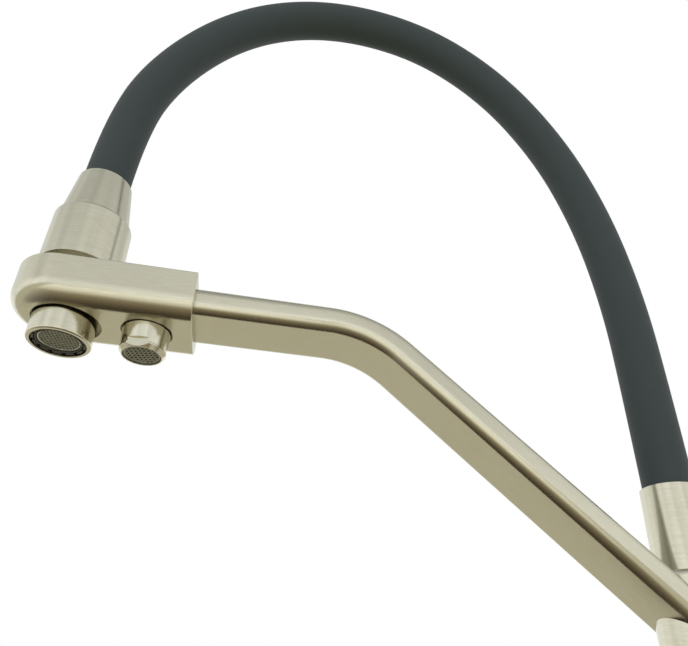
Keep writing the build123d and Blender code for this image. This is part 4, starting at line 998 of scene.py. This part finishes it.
@dataclass
class Floor:
    """Plain pale floor just under the nut.

    Attributes:
        level: Its height.
        half: Half its width.
        colour: Colour that metal and the bounced light show.
        seen: Paler colour that the camera sees.
        roughness: Its roughness.
        specular: Specular level of its surface.
    """

    level: float = -48.5 * MM
    half: float = 3.0
    colour: str = "#D4CFB9"
    seen: str = "#F2F0EA"
    roughness: float = 0.9
    specular: float = 0.1

    def build(self) -> None:
        """Lays the floor and paints it."""
        reach = (-self.half, self.half)
        piece = stage_sheet("floor", reach, reach, self.level)
        made = bpy.data.materials.new("pale_floor")
        made.use_nodes = True
        tree = made.node_tree
        tree.nodes.clear()
        rays = add_node(tree, "ShaderNodeLightPath", {}, {})
        tone = add_node(
            tree,
            "ShaderNodeMix",
            {"data_type": "RGBA", FIRST_COLOUR: linear(self.colour), SECOND_COLOUR: linear(self.seen)},
            {"Factor": rays.outputs["Is Camera Ray"]},
        )
        shader = add_node(
            tree,
            "ShaderNodeBsdfPrincipled",
            {"Roughness": self.roughness, "Specular IOR Level": self.specular},
            {"Base Color": tone.outputs[BLEND]},
        )
        add_node(tree, "ShaderNodeOutputMaterial", {}, {"Surface": shader.outputs["BSDF"]})
        piece.data.materials.append(made)


@dataclass
class ShadedCard:
    """Card just over the floor, which the lower roundings of the metal show as a soft dark line.

    Only reflections see it. It is a glowing sheet, no lamp, that paints a reflected highlight and a dark line
    into the metal.

    Attributes:
        level: Its height.
        sides: X of its left and right end.
        shades: Steps of its glow from its front end to its back end, each a distance along Y and a colour.
        fade: Distance from its left end over which the dark shades come in.
        floor_glow: Shade that the dark ones fade to, which looks like the floor beside the card.
        strength: Strength of its glow.
    """

    level: float = -40.0 * MM
    sides: tuple[float, float] = (-0.8, -0.045)
    # Painted reflection: the bright front steps give the roundings' highlight, and the dark back ones the
    # shade line below it
    shades: tuple[tuple[float, str], ...] = (
        (-3.0, "#FFFFF8"),
        (-0.75, "#FCFAEC"),
        (-0.42, "#DAD5C2"),
        (-0.24, "#8A8068"),
        (-0.07, "#675D4A"),
        (0.05, "#463D2F"),
        (0.16, "#3B3326"),
        (0.22, "#3B3326"),
    )
    fade: float = 0.45
    floor_glow: str = "#BBB9AB"
    strength: float = 1.3

    def material(self) -> bpy.types.Material:
        """Glow in the card's shades.

        The shade at a point is read off the steps by its Y. Over the fade, the lighter of that shade and the
        floor's is mixed in, wholly at the left end and less and less with X.

        Returns:
            The node material.
        """
        front, back = self.shades[0][0], self.shades[-1][0]
        left = self.sides[0]
        made = bpy.data.materials.new("shaded_card")
        made.use_nodes = True
        tree = made.node_tree
        tree.nodes.clear()
        place = add_node(tree, "ShaderNodeTexCoord", {}, {})
        split = add_node(tree, "ShaderNodeSeparateXYZ", {}, {"Vector": place.outputs["Object"]})
        depth = add_node(
            tree,
            "ShaderNodeMapRange",
            {"From Min": front, "From Max": back},
            {"Value": split.outputs["Y"]},
        )
        ramp = add_node(tree, "ShaderNodeValToRGB", {}, {"Fac": depth.outputs["Result"]})
        steps = ramp.color_ramp.elements
        while len(steps) < len(self.shades):
            steps.new(1.0)
        for step, (distance, colour) in zip(steps, self.shades):
            step.position = (distance - front) / (back - front)
            step.color = linear(colour)
        outside = add_node(
            tree,
            "ShaderNodeMapRange",
            {"From Min": left, "From Max": left + self.fade, "To Min": 1.0, "To Max": 0.0},
            {"Value": split.outputs["X"]},
        )
        tone = add_node(
            tree,
            "ShaderNodeMix",
            {"data_type": "RGBA", "blend_type": "LIGHTEN", SECOND_COLOUR: linear(self.floor_glow)},
            {"Factor": outside.outputs["Result"], FIRST_COLOUR: ramp.outputs["Color"]},
        )
        glow = add_node(
            tree,
            "ShaderNodeEmission",
            {"Strength": self.strength},
            {"Color": tone.outputs[BLEND]},
        )
        add_node(tree, "ShaderNodeOutputMaterial", {}, {"Surface": glow.outputs["Emission"]})
        return made

    def build(self) -> None:
        """Lays the card and hides it from all but reflections."""
        depth = (self.shades[0][0], self.shades[-1][0])
        piece = stage_sheet("shaded_card", self.sides, depth, self.level)
        piece.data.materials.append(self.material())
        piece.visible_camera = False
        piece.visible_diffuse = False
        piece.visible_shadow = False


@dataclass
class Surroundings:
    """Light of the studio's walls: plain white for the camera, even on the object, uneven in reflections.

    Attributes:
        seen: Strength that the camera sees.
        ambient: Strength that lights the object.
        walls: Colour of the walls in reflections.
        heights: Where the walls begin and end to fall off, as Z of the direction: 0 is level, 1 straight up.
        strengths: Strength of the walls at those two.
        streak_stretch: How the noise of the broad upright streaks is squeezed along each axis.
        streak_noise: Size and detail of that noise.
        streak_strengths: Least and greatest share of the walls' strength that the streaks leave.
    """

    seen: float = 1.0
    ambient: float = 0.85
    walls: str = "#FDFFFA"
    heights: tuple[float, float] = (0.2, 1.0)
    strengths: tuple[float, float] = (1.16, 0.5)
    streak_stretch: tuple[float, float, float] = (2.6, 2.6, 0.35)
    streak_noise: tuple[float, float] = (1.6, 1.0)
    streak_strengths: tuple[float, float] = (0.86, 1.12)

    def reflected(self, tree: bpy.types.NodeTree) -> bpy.types.NodeSocket:
        """Walls as metal shows them: bright when level, darker towards the ceiling, with upright streaks.

        Args:
            tree: The world's node tree.

        Returns:
            The socket that gives their light.
        """
        way = add_node(tree, "ShaderNodeTexCoord", {}, {})
        height = add_node(tree, "ShaderNodeSeparateXYZ", {}, {"Vector": way.outputs["Generated"]})
        fall = add_node(
            tree,
            "ShaderNodeMapRange",
            {
                "From Min": self.heights[0],
                "From Max": self.heights[1],
                "To Min": self.strengths[0],
                "To Max": self.strengths[1],
            },
            {"Value": height.outputs["Z"]},
        )
        squeezed = add_node(
            tree,
            "ShaderNodeMapping",
            {"Scale": self.streak_stretch},
            {"Vector": way.outputs["Generated"]},
        )
        streaks = add_node(
            tree,
            "ShaderNodeTexNoise",
            {"Scale": self.streak_noise[0], "Detail": self.streak_noise[1]},
            {"Vector": squeezed.outputs["Vector"]},
        )
        uneven = add_node(
            tree,
            "ShaderNodeMapRange",
            {**TONE_RANGE, "To Min": self.streak_strengths[0], "To Max": self.streak_strengths[1]},
            {"Value": streaks.outputs["Fac"]},
        )
        strength = add_node(
            tree,
            "ShaderNodeMath",
            {"operation": "MULTIPLY"},
            {0: fall.outputs["Result"], 1: uneven.outputs["Result"]},
        )
        walls = add_node(
            tree,
            "ShaderNodeBackground",
            {"Color": linear(self.walls)},
            {"Strength": strength.outputs["Value"]},
        )
        return walls.outputs["Background"]

    def build(self) -> None:
        """Makes the world and chooses its light by the kind of ray."""
        made = bpy.data.worlds.new("studio")
        made.use_nodes = True
        tree = made.node_tree
        tree.nodes.clear()
        rays = add_node(tree, "ShaderNodeLightPath", {}, {})
        clear = add_node(
            tree,
            "ShaderNodeMath",
            {"operation": "MAXIMUM"},
            {0: rays.outputs["Is Camera Ray"], 1: rays.outputs["Is Transmission Ray"]},
        )
        white = linear("#FFFFFF")
        even = add_node(tree, "ShaderNodeBackground", {"Color": white, "Strength": self.ambient}, {})
        plain = add_node(tree, "ShaderNodeBackground", {"Color": white, "Strength": self.seen}, {})
        lit = add_node(
            tree,
            "ShaderNodeMixShader",
            {},
            {0: rays.outputs["Is Glossy Ray"], 1: even.outputs["Background"], 2: self.reflected(tree)},
        )
        mixed = add_node(
            tree,
            "ShaderNodeMixShader",
            {},
            {0: clear.outputs["Value"], 1: lit.outputs["Shader"], 2: plain.outputs["Background"]},
        )
        add_node(tree, "ShaderNodeOutputWorld", {}, {"Surface": mixed.outputs["Shader"]})
        bpy.context.scene.world = made


@dataclass
class Lamp:
    """Rectangular soft lamp that reflections don't show.

    Attributes:
        name: Name of the lamp.
        place: Where it stands.
        target: The point that it faces.
        size: Its width and height, in metres.
        power: Its power in watts.
    """

    name: str
    place: tuple[float, float, float]
    target: tuple[float, float, float]
    size: tuple[float, float]
    power: float

    def build(self) -> None:
        """Sets the lamp up and turns it to its target."""
        data = bpy.data.lights.new(self.name, "AREA")
        data.shape = "RECTANGLE"
        data.size, data.size_y = self.size
        data.energy = self.power
        piece = bpy.data.objects.new(self.name, data)
        away = Vector(self.place) - Vector(self.target)
        turn = away.to_track_quat("Z", "Y").to_matrix().to_4x4()
        piece.matrix_world = Matrix.Translation(self.place) @ turn
        piece.visible_glossy = False
        bpy.context.scene.collection.objects.link(piece)
        LOG.info("lit the %s", self.name)


@dataclass
class StudioCamera:
    """Camera at the photograph's angle.

    Attributes:
        focal_px: Focal length in pixels.
        middle_px: Pixel that its line of sight meets, from the picture's top left corner.
        picture_px: Width and height of the picture.
        sensor_mm: Width of the sensor.
        yaw: Degrees by which it is turned about Z, from +Y towards +X.
        pitch: Degrees by which it looks up from level.
        roll: Degrees by which it is turned about its own line of sight.
        eye: Where it stands.
        clip: Nearest and farthest distance that it sees.
    """

    focal_px: float = 612.6
    middle_px: tuple[float, float] = (344.0, 360.0)
    picture_px: tuple[int, int] = (688, 646)
    sensor_mm: float = 36.0
    yaw: float = 10.16
    pitch: float = 29.35
    roll: float = 2.07
    eye: tuple[float, float, float] = (-0.1848, -0.2263, 0.120)
    clip: tuple[float, float] = (0.01, 50.0)

    def turn(self) -> Matrix:
        """Turns a camera that looks along -Z by the roll, the pitch and the yaw.

        Returns:
            Matrix whose first three columns are the camera's right, its top and the way back from its sight.
        """
        yaw, pitch, roll = (math.radians(angle) for angle in (self.yaw, self.pitch, self.roll))
        up = Vector((0, 0, 1))
        level = Vector((math.sin(yaw), math.cos(yaw), 0.0))
        side = Vector((math.cos(yaw), -math.sin(yaw), 0.0))
        sight = math.cos(pitch) * level + math.sin(pitch) * up
        above = -math.sin(pitch) * level + math.cos(pitch) * up
        right = math.cos(roll) * side + math.sin(roll) * above
        top = -math.sin(roll) * side + math.cos(roll) * above
        return Matrix((right, top, -sight)).transposed().to_4x4()

    def build(self) -> None:
        """Makes the camera and gives it to the scene."""
        data = bpy.data.cameras.new("camera")
        width, height = self.picture_px
        data.sensor_fit = "HORIZONTAL"
        data.sensor_width = self.sensor_mm
        data.lens = self.focal_px / width * self.sensor_mm
        data.shift_x = (width / 2 - self.middle_px[0]) / width
        data.shift_y = (self.middle_px[1] - height / 2) / width
        data.clip_start, data.clip_end = self.clip
        piece = bpy.data.objects.new("camera", data)
        piece.matrix_world = Matrix.Translation(self.eye) @ self.turn()
        bpy.context.scene.collection.objects.link(piece)
        bpy.context.scene.camera = piece


TOP_SOFTBOX = Lamp(
    name="top_softbox",
    place=(-0.5, -0.4, 1.5),
    target=(-0.15, 0.0, 0.3),
    size=(1.2, 1.0),
    power=4.1,
)
FRONT_STRIP = Lamp(
    name="front_strip",
    place=(-0.25, -1.3, 0.45),
    target=(-0.2, 0.0, 0.25),
    size=(1.4, 0.55),
    power=3.0,
)


def main() -> None:
    """Builds the studio and every sub-assembly."""
    logging.basicConfig(level=logging.INFO, format="%(name)s: %(message)s")
    bpy.context.scene.view_settings.view_transform = "Standard"
    studio = [Floor(), ShadedCard(), Surroundings(), TOP_SOFTBOX, FRONT_STRIP, StudioCamera()]
    faucet = [HoseRun(), DeckFixing(), Body(), Handles(), Spout(), MIXED_OUTLET, FILTERED_OUTLET]
    for part in studio + faucet:
        part.build()
        LOG.info("built %s", type(part).__name__)


if __name__ == "__main__":
    main()
